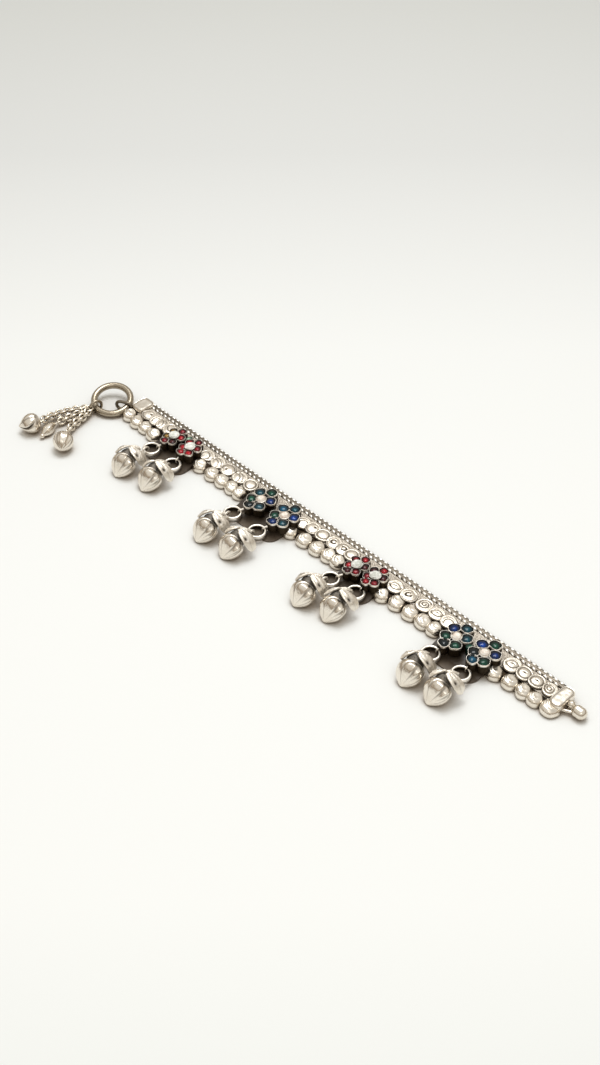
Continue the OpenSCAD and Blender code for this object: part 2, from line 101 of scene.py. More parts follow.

# %% [markdown]
# ## Skins, wires and stamped shapes
# Nearly everything on the anklet is a stack of closed rings with a skin over it. That could be modelled by
# hand with loop cuts, but a stack of rings in code keeps every curve even and can be repeated. Each point
# also stores how dark the silver goes there: partly the tarnish that old silver has in its grooves, partly
# painted shade under and between parts.

# %% A skin over a stack of rings
def skin(rings, deep=0.0, tint=(1, 1, 1)):
    """Points, faces, depth of shade and colour of a closed skin over rows of rings."""
    rings = np.asarray(rings, float)
    rows, around, _ = rings.shape
    points = np.vstack([rings.reshape(-1, 3), rings[0].mean(0), rings[-1].mean(0)])
    here = np.arange(around)
    after = (here + 1) % around
    faces = []
    for row in range(rows - 1):
        low, high = row * around, (row + 1) * around
        faces += np.stack([low + here, low + after, high + after, high + here], 1).tolist()
    first, last, top = rows * around, rows * around + 1, (rows - 1) * around
    faces += [[first, b, a] for a, b in zip(here.tolist(), after.tolist())]
    faces += [[last, top + a, top + b] for a, b in zip(here.tolist(), after.tolist())]
    shade = np.broadcast_to(deep, (rows, around))
    shade = np.concatenate([shade.ravel(), [shade[0].mean(), shade[-1].mean()]])
    colour = np.broadcast_to(tint, (rows, around, 3))
    colour = np.vstack([colour.reshape(-1, 3), colour[0].mean(0), colour[-1].mean(0)])
    return points, faces, shade, colour


def closed_skin(rings, deep=0.0):
    """A skin over rings whose last one meets the first again, as in a loop of wire."""
    points, faces, shade, colour = skin(rings, deep)
    around = len(rings[0])
    last, here = (len(rings) - 1) * around, np.arange(around)
    after = (here + 1) % around
    faces = faces[:last] + np.stack([last + here, last + after, after, here], 1).tolist()
    return points[:-2], faces, shade[:-2], colour[:-2]


print("a skin over 3 rings of 8 points has", len(skin(np.zeros((3, 8, 3)))[1]), "faces")

# %% A wire along a line
def wire(line, thick, around=12, closed=False):
    """A round wire of radius thick along a line."""
    line = np.asarray(line, float)
    ahead = np.roll(line, -1, 0) - np.roll(line, 1, 0) if closed else np.gradient(line, axis=0)
    ahead = ahead / np.linalg.norm(ahead, axis=1)[:, None]
    start = np.array([0, 0, 1.0]) if abs(ahead[0][2]) < 0.9 else np.array([1.0, 0, 0])
    uprights = []
    for direction in ahead:
        start = unit(start - direction * (start @ direction))
        uprights.append(start)
    uprights = np.array(uprights)
    sides = np.cross(ahead, uprights)
    turn = np.linspace(0, 2 * np.pi, around, endpoint=False)
    thick = np.broadcast_to(thick, len(line))[:, None, None]
    rings = line[:, None] + thick * (
        sides[:, None] * np.cos(turn)[:, None] + uprights[:, None] * np.sin(turn)[:, None])
    return closed_skin(rings) if closed else skin(rings)


def ring_of_wire(middle, across, along, radius, thick, steps, around=12):
    """A round ring of wire in the plane of two directions."""
    turn = np.linspace(0, 2 * np.pi, steps, endpoint=False)[:, None]
    line = np.asarray(middle) + radius * (np.cos(turn) * unit(across) + np.sin(turn) * unit(along))
    return wire(line, thick, around, closed=True)


sample_ring = ring_of_wire([0, 0, 0], [1, 0, 0], [0, 1, 0], 3.0, 0.5, steps=40)
print("points on a ring of wire:", len(sample_ring[0]))

# %% A stamped shape seen from above
OFF_FLOOR = 0.03


def stamped(middle, reach, top, low, rows, around=44, lean=(0.0, 0.0)):
    """A disc whose edge is reach(angle), whose top and shade are top(share, angle) and
    whose underside is at low. lean raises it along x and along y."""
    angle = np.linspace(0, 2 * np.pi, around, endpoint=False)
    edge = reach(angle)
    share = np.linspace(1, 0.03, rows)[:, None]
    z, deep = top(share, angle[None, :])
    z, deep = np.broadcast_to(z, (rows, around)), np.broadcast_to(deep, (rows, around))
    rim = z[:1]
    z = np.vstack([np.full((1, around), low), low + 0.45 * (rim - low), z])
    # painted shade: the foot and the side wall below the rim are stored dark
    deep = np.vstack([np.full((1, around), 0.7), np.full((1, around), 0.2), deep])
    share = np.vstack([[[0.93]], [[1.0]], share])
    x = share * edge * np.cos(angle)
    y = share * edge * np.sin(angle)
    z = np.maximum(z + lean[0] * x + lean[1] * y, OFF_FLOOR)
    rings = np.stack([middle[0] + x, middle[1] + y, z], -1)
    return skin(rings, deep)


def groove(distance, width):
    """How much a groove of that half width bites at a distance from its line."""
    return np.exp(-(distance / width) ** 2)


print("stamped shapes stay", OFF_FLOOR, "mm off the surface")

# %% Turn shapes into one piece of the anklet
made = {}


def make_piece(name, shapes, finish, stands_for=(), crisp=50):
    """Joins shapes into one mesh that rides on the anklet and stands for solids. Its shading
    is smooth but for edges sharper than crisp, in degrees."""
    points, faces, shades, colours, count = [], [], [], [], 0
    for own_points, own_faces, own_shade, own_colour in shapes:
        points.append(own_points)
        shades.append(own_shade)
        colours.append(own_colour)
        faces += [[corner + count for corner in face] for face in own_faces]
        count += len(own_points)
    mesh = bpy.data.meshes.new(name)
    mesh.from_pydata(to_metres(np.vstack(points)).tolist(), [], faces)
    work = bmesh.new()
    work.from_mesh(mesh)
    bmesh.ops.recalc_face_normals(work, faces=work.faces)
    work.to_mesh(mesh)
    work.free()
    mesh.attributes.new("deep", "FLOAT", "POINT").data.foreach_set("value", np.concatenate(shades))
    tint = np.column_stack([np.vstack(colours), np.ones(count)])
    mesh.attributes.new("tint", "FLOAT_COLOR", "POINT").data.foreach_set("color", tint.ravel())
    mesh.shade_smooth()
    mesh.set_sharp_from_angle(angle=math.radians(crisp))
    piece = bpy.data.objects.new(name, mesh)
    bpy.context.scene.collection.objects.link(piece)
    mesh.materials.append(finish)
    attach(piece, "root")
    if stands_for:
        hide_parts(*stands_for)
    made[name] = len(faces)


print("each piece will be one mesh")

# %% [markdown]
# ## The silver
# Old silver is bright where fingers and cloth rub it and brown to black where they can't reach. The finish
# mixes a warm bright silver with a dark tone that is partly tarnish and partly painted shade. The dark comes
# from two things: the depth stored on each point, and how shut in a spot is by its neighbours, which paints
# shade into corners and gaps.
# A little grain in the surface breaks up the reflections, as on cast and worn metal.

# %% Nodes and links
def add_node(finish, kind, **values):
    """Adds a node and sets its inputs by name."""
    node = finish.node_tree.nodes.new(kind)
    for name, value in values.items():
        node.inputs[name.replace("_", " ")].default_value = value
    return node


def join(finish, source, target):
    """Links two sockets."""
    finish.node_tree.links.new(source, target)


def new_finish(name, **values):
    """A new material, its shader with some inputs set, and the place of each point."""
    finish = bpy.data.materials.new(name)
    finish.use_nodes = True
    shader = finish.node_tree.nodes["Principled BSDF"]
    for key, value in values.items():
        shader.inputs[key.replace("_", " ")].default_value = value
    place = add_node(finish, "ShaderNodeTexCoord").outputs["Object"]
    return finish, shader, place


print("a finish starts with its shader and its place")

# %% Patterns and shades
def texture(finish, place, kind="Noise", **values):
    """Adds a texture that is laid out by the place of each point."""
    node = add_node(finish, "ShaderNodeTex" + kind, **values)
    join(finish, place, node.inputs["Vector"])
    return node


def spread(finish, source, smooth=False, **values):
    """Stretches a value from one range to another."""
    node = add_node(finish, "ShaderNodeMapRange", **values)
    if smooth:
        node.interpolation_type = "SMOOTHSTEP"
    join(finish, source, node.inputs["Value"])
    return node.outputs["Result"]


def shut_in(finish, reach, samples):
    """How open a spot is, from 0 to 1, within a reach in metres."""
    node = add_node(finish, "ShaderNodeAmbientOcclusion", Distance=reach)
    node.samples = samples
    return node.outputs["AO"]


def stored(finish, name):
    """What the points of a mesh store under a name."""
    node = finish.node_tree.nodes.new("ShaderNodeAttribute")
    node.attribute_name = name
    return node


def bumped(finish, heights, strength, distance, under=None):
    """The surface's direction, tilted by the heights of a texture."""
    node = add_node(finish, "ShaderNodeBump", Strength=strength, Distance=distance)
    join(finish, heights, node.inputs["Height"])
    if under is not None:
        join(finish, under, node.inputs["Normal"])
    return node.outputs["Normal"]


print("patterns are laid out by place, so the silver needs no unwrapping")

# %% Mixing
def blend_colours(finish, share, first, second):
    """A colour between two, each a socket or a plain colour."""
    mix = finish.node_tree.nodes.new("ShaderNodeMix")
    mix.data_type = "RGBA"
    join(finish, share, mix.inputs[0])
    for socket, colour in ((mix.inputs[6], first), (mix.inputs[7], second)):
        if isinstance(colour, bpy.types.NodeSocket):
            join(finish, colour, socket)
        else:
            socket.default_value = (*colour, 1)
    return mix.outputs[2]


def larger(finish, first, second):
    """The larger of two values, at most 1."""
    node = finish.node_tree.nodes.new("ShaderNodeMath")
    node.operation = "MAXIMUM"
    node.use_clamp = True
    join(finish, first, node.inputs[0])
    join(finish, second, node.inputs[1])
    return node.outputs[0]


print("materials so far:", len(bpy.data.materials))

# %% Old silver
# the dark tone of the silver, standing for both its tarnish and its painted shade
TARNISH_AND_SHADE = (0.040, 0.028, 0.017)


def old_silver(name, bright, warm, rough=0.34, grain=900.0, bite=0.00003, shut=0.6, dents=0.0):
    """Silver that is bright where it is rubbed and dark where it is shut in and where its points store
    depth; that dark tone is partly tarnish and partly painted shade. grain and bite are the scale and the
    height of its specks, a low shut keeps all but the tightest gaps free of painted shade, and dents is the
    depth of its hammer marks."""
    finish, shader, place = new_finish(name, Metallic=1.0)
    clouds = texture(finish, place, Scale=260.0, Detail=3.0)
    specks = texture(finish, place, Scale=grain, Detail=2.0)
    # painted shade: the silver goes dark where its neighbours shut a spot in
    shade_where_shut_in = spread(finish, shut_in(finish, 0.0016, 5), smooth=True,
                    From_Min=0.1, From_Max=shut, To_Min=1.0, To_Max=0.0)
    # the dark share is the larger of the stored depth (partly tarnish, partly painted shade) and the painted
    # shade of shut-in spots
    dark = larger(finish, stored(finish, "deep").outputs["Fac"], shade_where_shut_in)
    metal = blend_colours(finish, clouds.outputs["Fac"], bright, warm)
    join(finish, blend_colours(finish, dark, metal, TARNISH_AND_SHADE), shader.inputs["Base Color"])
    dull = spread(finish, dark, To_Min=rough, To_Max=rough + 0.2)
    join(finish, dull, shader.inputs["Roughness"])
    facing = bumped(finish, specks.outputs["Fac"], 0.6, bite)
    if dents:
        hollows = texture(finish, place, "Voronoi", Scale=620.0)
        hollows.feature = "SMOOTH_F1"
        facing = bumped(finish, hollows.outputs["Distance"], 0.7, dents, facing)
    join(finish, facing, shader.inputs["Normal"])
    return finish


SILVERS = {
    # the bright tone, the warm tone in its clouds, and what else is its own
    "bright": ((0.89, 0.84, 0.76), (0.71, 0.64, 0.53), {"rough": 0.27}),
    "pearl": ((0.91, 0.86, 0.78), (0.73, 0.655, 0.55), {"rough": 0.27, "dents": 0.00014}),
    "rim": ((0.97, 0.93, 0.86), (0.87, 0.81, 0.72), {"rough": 0.36, "shut": 0.12}),
    "braid": ((0.97, 0.95, 0.90), (0.86, 0.82, 0.75), {"rough": 0.32, "shut": 0.24}),
    "chain": ((0.88, 0.81, 0.70), (0.66, 0.58, 0.46), {"rough": 0.25, "shut": 0.85}),
    "grey": ((0.47, 0.41, 0.32), (0.29, 0.24, 0.175), {"rough": 0.27}),
    "stamped": ((0.84, 0.785, 0.70), (0.60, 0.53, 0.435), {"grain": 1500.0, "bite": 0.00012}),
    "textured": ((0.97, 0.93, 0.86), (0.78, 0.71, 0.60),
                 {"rough": 0.46, "grain": 2000.0, "bite": 0.00034}),
    # the rod under the braid is painted dark, as painted shade in the gaps between the links
    "gap_shade": ((0.24, 0.21, 0.17), (0.12, 0.10, 0.08), {"rough": 0.4}),
    "dark": ((0.26, 0.23, 0.18), (0.14, 0.11, 0.08), {"rough": 0.36}),
}
silver = {kind: old_silver(f"{kind}_silver", bright, warm, **more)
          for kind, (bright, warm, more) in SILVERS.items()}
print("silver finishes:", len(silver))

# %% [markdown]
# ## The dark plates, the mesh and the glass
# The plates under the flowers were blackened on purpose, so they are a dark glossy metal, painted a little
# lighter towards the front as a painted sheen where their front slopes catch the light. The strip behind the
# flowers looks like fine woven mesh, which cells with painted shade in the gaps between them give without
# modelling every wire. The stones are glass over foil: a painted dark edge, a painted bright heart where the
# foil sends light back, and a wet gloss.

# %% Blackened plate
PLATE_BACK, PLATE_FRONT_SHEEN = (0.020, 0.011, 0.006), (0.200, 0.155, 0.110)
PLATE_SOOT = (0.030, 0.019, 0.011)


def blackened(name):
    """Dark glossy metal with faint clouds of soot, painted lighter from back to front as a painted sheen."""
    finish, shader, place = new_finish(name, Specular_IOR_Level=0.35)
    clouds = texture(finish, place, Scale=180.0, Detail=4.0)
    apart = finish.node_tree.nodes.new("ShaderNodeSeparateXYZ")
    join(finish, place, apart.inputs[0])
    # painted sheen: the colour lightens towards the plate's front edge
    front = spread(finish, apart.outputs["Y"], From_Min=0.011, From_Max=0.002)
    base = blend_colours(finish, front, PLATE_BACK, PLATE_FRONT_SHEEN)
    sooty = blend_colours(finish, clouds.outputs["Fac"], base, PLATE_SOOT)
    join(finish, sooty, shader.inputs["Base Color"])
    gloss = spread(finish, clouds.outputs["Fac"], To_Min=0.28, To_Max=0.5)
    join(finish, gloss, shader.inputs["Roughness"])
    return finish


plate_black = blackened("plate_black")
print("plates are blackened")

# %% Fine woven mesh
MESH_BRIGHT, MESH_WARM, MESH_GAP_SHADE = (0.80, 0.74, 0.65), (0.44, 0.385, 0.31), (0.10, 0.075, 0.055)


def woven_silver(name):
    """Silver mesh: small raised cells with painted shade in the gaps between them."""
    finish, shader, place = new_finish(name, Metallic=0.9, Roughness=0.42)
    cells = texture(finish, place, "Voronoi", Scale=2500.0)
    cells.feature = "DISTANCE_TO_EDGE"
    clouds = texture(finish, place, Scale=400.0)
    # painted shade in the gaps between the cells
    gaps = spread(finish, cells.outputs["Distance"], From_Min=0.0, From_Max=0.26,
                  To_Min=0.95, To_Max=0.0)
    metal = blend_colours(finish, clouds.outputs["Fac"], MESH_BRIGHT, MESH_WARM)
    join(finish, blend_colours(finish, gaps, metal, MESH_GAP_SHADE), shader.inputs["Base Color"])
    join(finish, bumped(finish, cells.outputs["Distance"], 0.9, 0.00012), shader.inputs["Normal"])
    return finish


mesh_silver = woven_silver("mesh_silver")
print("the mesh is woven")

# %% Glass stones
GLASS_DEPTH = (0.004, 0.008, 0.010)


def foiled_glass(name):
    """Glass over foil, with the colour that each stone stores on its points."""
    finish, shader, place = new_finish(name, Roughness=0.06, IOR=1.5, Specular_IOR_Level=0.3)
    depths = texture(finish, place, Scale=900.0, Detail=1.0)
    streaks = spread(finish, depths.outputs["Fac"], From_Min=0.35, From_Max=0.7, To_Max=0.6)
    tint = stored(finish, "tint").outputs["Color"]
    join(finish, blend_colours(finish, streaks, tint, GLASS_DEPTH), shader.inputs["Base Color"])
    return finish


def cut_crystal(name, body, mottle_and_reflection):
    """Whitish cut stone whose random cells take two tones: its own mottling, and painted reflections in its
    facets.
    """
    finish, shader, place = new_finish(name, Roughness=0.12, IOR=1.7)
    # the two tones in random cells: the stone's own mottling and painted reflections of its facets
    facets = texture(finish, place, "Voronoi", Scale=1100.0)
    apart = finish.node_tree.nodes.new("ShaderNodeSeparateColor")
    join(finish, facets.outputs["Color"], apart.inputs[0])
    join(finish, blend_colours(finish, apart.outputs[0], body, mottle_and_reflection), shader.inputs["Base Color"])
    return finish


petal_glass = foiled_glass("petal_glass")
cream_crystal = cut_crystal("cream_crystal", (0.92, 0.88, 0.80), (0.70, 0.56, 0.46))
white_crystal = cut_crystal("white_crystal", (0.97, 0.97, 0.93), (0.50, 0.52, 0.46))
print("stone finishes:", petal_glass.name, cream_crystal.name, white_crystal.name)

# %% [markdown]
# ## The solids that stay
# The closing ring, the rod under the braid, the mesh strip and the plates already have
# their true shapes, so they stay as they are and only get a finish. All other solids are
# replaced by richer pieces that stand in the same places.

# %% Finish the solids that stay
def finish_solid(node, finish):
    """Gives a solid its finish in every material slot."""
    for slot_of_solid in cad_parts[node].material_slots:
        slot_of_solid.link = "OBJECT"
        slot_of_solid.material = finish


finish_solid("closing_ring", silver["grey"])
finish_solid("mesh_band", mesh_silver)
# the rod's dark finish is painted shade in the gaps of the braid
finish_solid("edge_braid", silver["gap_shade"])
PLATES = 4
for number in range(1, PLATES + 1):
    finish_solid(f"plate_{number}", plate_black)
print("solids that stay:", 3 + PLATES)

# %% [markdown]
# ## The braid along the back edge
# A double row of little links runs along the back. Each one is a short fat loop, closed up by wear, and the
# two rows lean opposite ways like a plait. One link is made as a stack of rings and set down again and
# again, with a small change each time. The solid rod below stays and gets a dark finish, so that it shows in
# the gaps as painted shade between the links. The lower side and the two ends of each link are stored dark
# too, as painted shade.

# %% Braid links
def fat_link(middle, long, wide, high, turn, rows=9, around=12):
    """A short rod with full round ends, lying along the band and turned a little."""
    t = np.cos(np.linspace(np.pi, 0, rows))[:, None]
    full = np.sqrt(np.clip(1 - np.abs(t) ** 3, 0.004, 1))
    a = np.linspace(0, 2 * np.pi, around, endpoint=False)
    x = np.broadcast_to(t * long / 2, (rows, around))
    y, z = full * wide / 2 * np.cos(a), full * high / 2 * np.sin(a)
    c, s = math.cos(turn), math.sin(turn)
    rings = np.stack([middle[0] + c * x - s * y, middle[1] + s * x + c * y, middle[2] + z], -1)
    # painted shade: the lower part of each link and its two ends are stored dark
    low = np.clip((middle[2] - rings[..., 2]) / (0.3 * high), 0, 1)
    return skin(rings, np.maximum(low, np.abs(t) ** 18))


BRAID_START, BRAID_END, BRAID_STEP, BRAID_HEIGHT = 5.9, 217.9, 2.4, 2.2
BRAID_LINK = (2.3, 1.4, 2.1)
BRAID_ROWS = [(-0.8, 0.26), (-2.35, -0.3)]  # place across the band, lean
links = []
for row, (y, slant) in enumerate(BRAID_ROWS):
    for k in range(int((BRAID_END - BRAID_START) / BRAID_STEP) + 1 - row):
        x = BRAID_START + (k + 0.5 * row) * BRAID_STEP + chance.normal(0, 0.07)
        middle = (x, y, BRAID_HEIGHT + chance.normal(0, 0.05))
        links.append(fat_link(middle, *BRAID_LINK, slant + chance.normal(0, 0.1)))
make_piece("braid_links", links, silver["braid"])
print("braid links:", len(links))

# %% [markdown]
# ## The stamped discs on the inner row
# Each disc was struck with a round punch, so it has a raised rim, rings or a spiral inside
# it and a small dimple. They overlap like scales. A height for every point of a round grid
# draws the relief: a ridge adds height, a groove takes it away and stores a dark shade.

# %% Relief of a stamped disc
def disc_relief(kind, spin):
    """The height and shade of a stamped disc, by kind of punch; rings is the plain kind."""
    def top(share, angle):
        x, y = share * np.cos(angle - spin), share * np.sin(angle - spin)
        z = (0.95 - 0.35 * np.clip((share - 0.85) / 0.15, 0, 1) ** 2
             + 0.35 * np.clip(1 - (share / 0.66) ** 2, 0, 1) ** 0.8)
        cut, pit = groove(share - 0.69, 0.075), 0.0
        if kind == "slot":
            pit = np.exp(-((x / 0.17) ** 2 + (y / 0.08) ** 2))
        elif kind == "eye":
            cut = groove(np.abs(y) - 0.5 * (1 - (x / 0.72) ** 2), 0.075) * (abs(x) < 0.74)
            pit = 0.7 * groove(np.hypot(x, y + 0.2) - 0.26, 0.085) * (y > -0.05)
        elif kind == "dot":
            cut = groove(share - 0.8, 0.075) * (y < 0.1)
            pit = np.exp(-((x - 0.25) ** 2 + (y - 0.12) ** 2) / 0.02)
        elif kind == "hook":
            cut = 0.8 * groove(share - 0.82, 0.075) * (y < 0)
            pit = 0.9 * groove(np.hypot(x / 1.4, y) - 0.27, 0.085) * (x < 0.25)
        elif kind == "spiral":
            wound = np.mod(angle - spin, 2 * np.pi) / (2 * np.pi)
            cut = sum(groove(share - (0.72 - 0.3 * (wound + k)), 0.07) for k in range(2))
        elif kind == "shell":
            cut = (0.8 * groove(np.hypot(x + 0.8, y) - 0.8, 0.075)
                   + 0.7 * groove(np.hypot(x + 0.8, y) - 1.2, 0.07))
        elif kind == "crescent":
            cut = groove(np.hypot(x - 0.15, y + 0.3) - 0.62, 0.08) * (y > -0.5)
            z = z - 0.15 * groove(np.hypot(x - 0.15, y + 0.3), 0.4)
        cut = np.clip(cut, 0, 1)
        # painted shade: the outermost edge of each disc goes dark, where it meets the disc beside it
        edge = np.clip((share - 0.93) / 0.05, 0, 1)
        return z - 0.2 * cut - 0.3 * pit, np.clip(0.8 * cut + 1.2 * pit + 0.8 * edge, 0, 1)
    return top


print("punches: slot, eye, dot, hook, spiral, shell, crescent, rings")

# %% Set the inner discs
INNER_DISCS = [
    # place along and across the band, radius, punch, turn of the punch
    (9.9, -6.9, 3.2, "dot", 0.2), (14.3, -7.0, 3.2, "crescent", 0.5), (18.4, -7.0, 3.2, "shell", 0.4),
    (22.5, -7.0, 3.2, "crescent", 2.0), (45.2, -7.0, 3.3, "crescent", 5.3), (51.4, -7.0, 3.35, "shell", 1.0),
    (57.3, -7.0, 3.3, "dot", 3.6), (64, -7.0, 3.3, "shell", 0.8), (70, -7.0, 3.2, "rings", 0.6),
    (99.4, -7.5, 3.2, "crescent", 0.4), (104.2, -7.0, 3.2, "dot", 0.3), (109.5, -7.0, 3.25, "rings", 0.4),
    (115.2, -7.0, 3.3, "hook", 0.5), (120.1, -7.0, 3.2, "hook", 3.6), (124.4, -7.0, 3.1, "rings", 0.5),
    (146.6, -7.6, 3.3, "eye", 0.2), (153, -7.3, 3.35, "hook", 0.9), (160.3, -7.0, 3.4, "spiral", 0.8),
    (166.2, -7.0, 3.2, "eye", 0.4), (171.6, -7.0, 3.2, "crescent", 0.3), (200.2, -6.6, 3.45, "eye", 0.4),
    (205.6, -6.7, 3.3, "slot", 0.5), (210.9, -6.5, 3.2, "slot", 0.1), (216.2, -6.2, 3.0, "spiral", 2.6),
]
DISC_UNDER, DISC_BASE, DISC_LEAN = 2.7, 2.75, (-0.09, -0.02)


def struck(middle, radius, kind, spin, wobble):
    """One stamped disc, not quite round, with its left edge raised over the disc before it."""
    punch = disc_relief(kind, spin)

    def edge(angle):
        return radius * (1 + 0.035 * np.cos(2 * angle + wobble) + 0.02 * np.cos(3 * angle - wobble))

    def top(share, angle):
        z, shade = punch(share, angle)
        return z + DISC_BASE, shade

    return stamped(middle, edge, top, DISC_UNDER, rows=32, around=60, lean=DISC_LEAN)


inner = [struck(disc[:2], *disc[2:], chance.uniform(0, 6.28)) for disc in INNER_DISCS]
make_piece("stamped_discs", inner, silver["stamped"], stands_for=["oval_discs"])
print("inner discs:", len(inner))

# %% [markdown]
# ## The domed discs along the front
# The front edge is a row of thick lumps like flattened pearls. Each was tapped flat on one
# side, which leaves a bright facet with a curved crease round it. A dome cut by a tilted
# plane gives that: the facet is wherever the plane lies lower than the dome.

# %% Pearl-like lumps
def pearl_lump(middle, radius, height, seed, spin=None):
    """A thick domed disc with a facet and a crease."""
    luck = np.random.default_rng(seed)
    spin = luck.uniform(0.2, 1.4) if spin is None else spin
    slope, dent = luck.uniform(0.16, 0.3), luck.uniform(0, 6.28)

    def edge(angle):
        return radius * (1 + 0.03 * np.cos(2 * angle + dent) + 0.02 * np.cos(5 * angle + dent))

    def top(share, angle):
        side = 0.42 * height
        z = side + (height - side) * (1 - share ** 3.2) ** 0.6
        x, y = share * np.cos(angle), share * np.sin(angle)
        u, v = x * math.cos(spin) + y * math.sin(spin), y * math.cos(spin) - x * math.sin(spin)
        flat = height * (0.97 - 0.8 * slope * u)
        z = np.minimum(z, flat + 0.1 * (z - flat))
        crease = groove(np.hypot(u - 0.25, v) - 0.72, 0.08) * np.clip(0.5 - 1.6 * u, 0, 1)
        scar = 0.6 * groove(v - 0.35 * np.sin(3.2 * u + dent), 0.07) * np.clip(1 - 2.2 * np.abs(u), 0, 1)
        lumps = np.sin(5 * x + dent) * np.sin(6 * y - dent) * (1 - share)
        return z - 0.15 * crease - 0.08 * scar + 0.1 * lumps, 0.35 * crease + 0.2 * scar

    return stamped(middle, edge, top, 0.05, rows=20, lean=(-0.1, 0.02))


def painted_shadow_bar(x0, x1, y0, y1, z0, z1):
    """A plain bar, stored fully dark, that closes the gap behind the discs: painted shadow."""
    ring = [(x0, y0), (x1, y0), (x1, y1), (x0, y1)]
    return skin([[(x, y, z) for x, y in ring] for z in (z0, z1)], 1.0)


FRONT_HEIGHT = 3.7
print("front lumps stand", FRONT_HEIGHT, "mm high")

# %% Set the front discs
FRONT_DISCS = [
    # place along and across the band, radius
    (8.1, -12, 3.1), (13.4, -12, 3.1), (19.0, -12.6, 3.1), (46.3, -12, 3.2), (53.4, -12, 3.3),
    (59.0, -12, 3.2), (64.6, -12, 3.1), (69.0, -12, 3.0), (98.1, -13.0, 3.2), (105.3, -12.6, 3.3),
    (111.8, -12.4, 3.3), (117.4, -12, 3.2), (122.0, -12, 3.1), (144.8, -12.8, 3.2),
    (151.5, -12, 3.3), (158.2, -12, 3.4), (164.3, -12, 3.35), (169.4, -12, 3.1),
    (197.4, -12.4, 3.2), (203.9, -12, 3.15), (209.6, -12, 3.05), (214.6, -12, 3.0),
]
STRETCHES = [(8.6, 19.8), (47.3, 69.5), (100.4, 122.4), (146.4, 169.9), (198.3, 214.2)]
pearls = [pearl_lump(disc[:2], disc[2], FRONT_HEIGHT, 100 + k) for k, disc in enumerate(FRONT_DISCS)]
# painted shadow: dark bars fill the gaps behind the front discs
pearls += [painted_shadow_bar(x0, x1, -12, -9.5, 0.3, 2.3) for x0, x1 in STRETCHES]
make_piece("front_pearls", pearls, silver["pearl"], stands_for=["front_discs"])
print("front discs:", len(FRONT_DISCS))

# %% [markdown]
# ## The two ends
# Each end of the band has a plain bar across it, slightly hollow on top with a thin raised
# edge, and a thick corner disc. The left one also holds the eye that the closing ring
# hangs in. The bar is a stack of rounded outlines, each a little further in than the last.

# %% End bars
def rounded_outline(x0, x1, y0, y1, corner, inset, around=48):
    """A rectangle with round corners, moved in by inset."""
    hx, hy = (x1 - x0) / 2 - inset, (y1 - y0) / 2 - inset
    r = max(min(corner - inset, hx, hy), 0.05)
    t = np.linspace(0, 2 * np.pi, around, endpoint=False)
    cx, cy = np.cos(t), np.sin(t)
    x = np.sign(cx) * (hx - r) + r * cx
    y = np.sign(cy) * (hy - r) + r * cy
    return np.stack([(x0 + x1) / 2 + x, (y0 + y1) / 2 + y], 1)


def end_bar(x0, x1, y0, y1, top, corner):
    """A bar with a thin raised edge round a slightly hollow top; its rows are the inset, the
    height and the shade."""
    rows = [(0.2, 0.0, 0.6), (0, 0.35, 0.2), (0, top - 0.7, 0), (0.12, top - 0.25, 0),
            (0.34, top, 0), (0.55, top - 0.06, 0.1), (0.68, top - 0.16, 0.8),
            (0.85, top - 0.12, 0.2), (1.3, top - 0.02, 0.1), (1.8, top - 0.02, 0.1),
            (2.1, top - 0.03, 0.1)]
    rings = []
    for inset, z, _ in rows:
        outline = rounded_outline(x0, x1, y0, y1, corner, inset)
        rings.append(np.column_stack([outline, np.full(len(outline), z)]))
    return skin(rings, np.array([shade for _, _, shade in rows])[:, None])


CAP_RIGHT, CAP_LEFT = (218.6, 224.0, -11.3, -0.9), (0.0, 6.5, -8.7, -0.5)
right_shapes = [end_bar(*CAP_RIGHT, 4.2, 2.4), pearl_lump((220.6, -11.4), 3.5, 3.7, 5, spin=1.1)]
left_shapes = [end_bar(*CAP_LEFT, 4.1, 2.0), pearl_lump((2.7, -11.4), 3.0, 3.9, 6, spin=0.9),
               painted_shadow_bar(2, 4, -10, -8, 0.3, 2.6)]
make_piece("right_end_bar", right_shapes, silver["pearl"], stands_for=["right_end"])
make_piece("left_end_bar", left_shapes, silver["pearl"], stands_for=["left_end"])
print("end bars are", [round(x1 - x0, 1) for x0, x1, *_ in (CAP_LEFT, CAP_RIGHT)], "mm wide")

# %% The eye of the left end
EYE_OUT, EYE_IN = np.array([-5.5, -11.5, 2.72]), np.array([0.55, -8.35, 2.72])
EYE_BEND, EYE_WIRE = 1.95, 0.68
along_eye, eye_side = unit(EYE_IN - EYE_OUT), np.array([0.0, 0.0, 1.0])
half_turn = np.linspace(-np.pi / 2, np.pi / 2, 14)[:, None]
bend = EYE_BEND * (np.sin(half_turn) * eye_side - np.cos(half_turn) * along_eye)
eye_line = np.vstack([EYE_OUT + EYE_BEND * along_eye + bend, EYE_IN - EYE_BEND * along_eye - bend])
make_piece("closing_eye", [wire(eye_line, EYE_WIRE, closed=True)], silver["dark"])
print("points round the eye:", len(eye_line))

# %% [markdown]
# ## The flower settings
# A flower is six open cells of thin silver sheet round a bezel. The rims are rubbed bright
# and the walls below are almost black. Each cell is one skin that goes up its outer wall,
# over the rim and down inside to the floor, so its rim has a real thickness and catches
# the light on its round top.

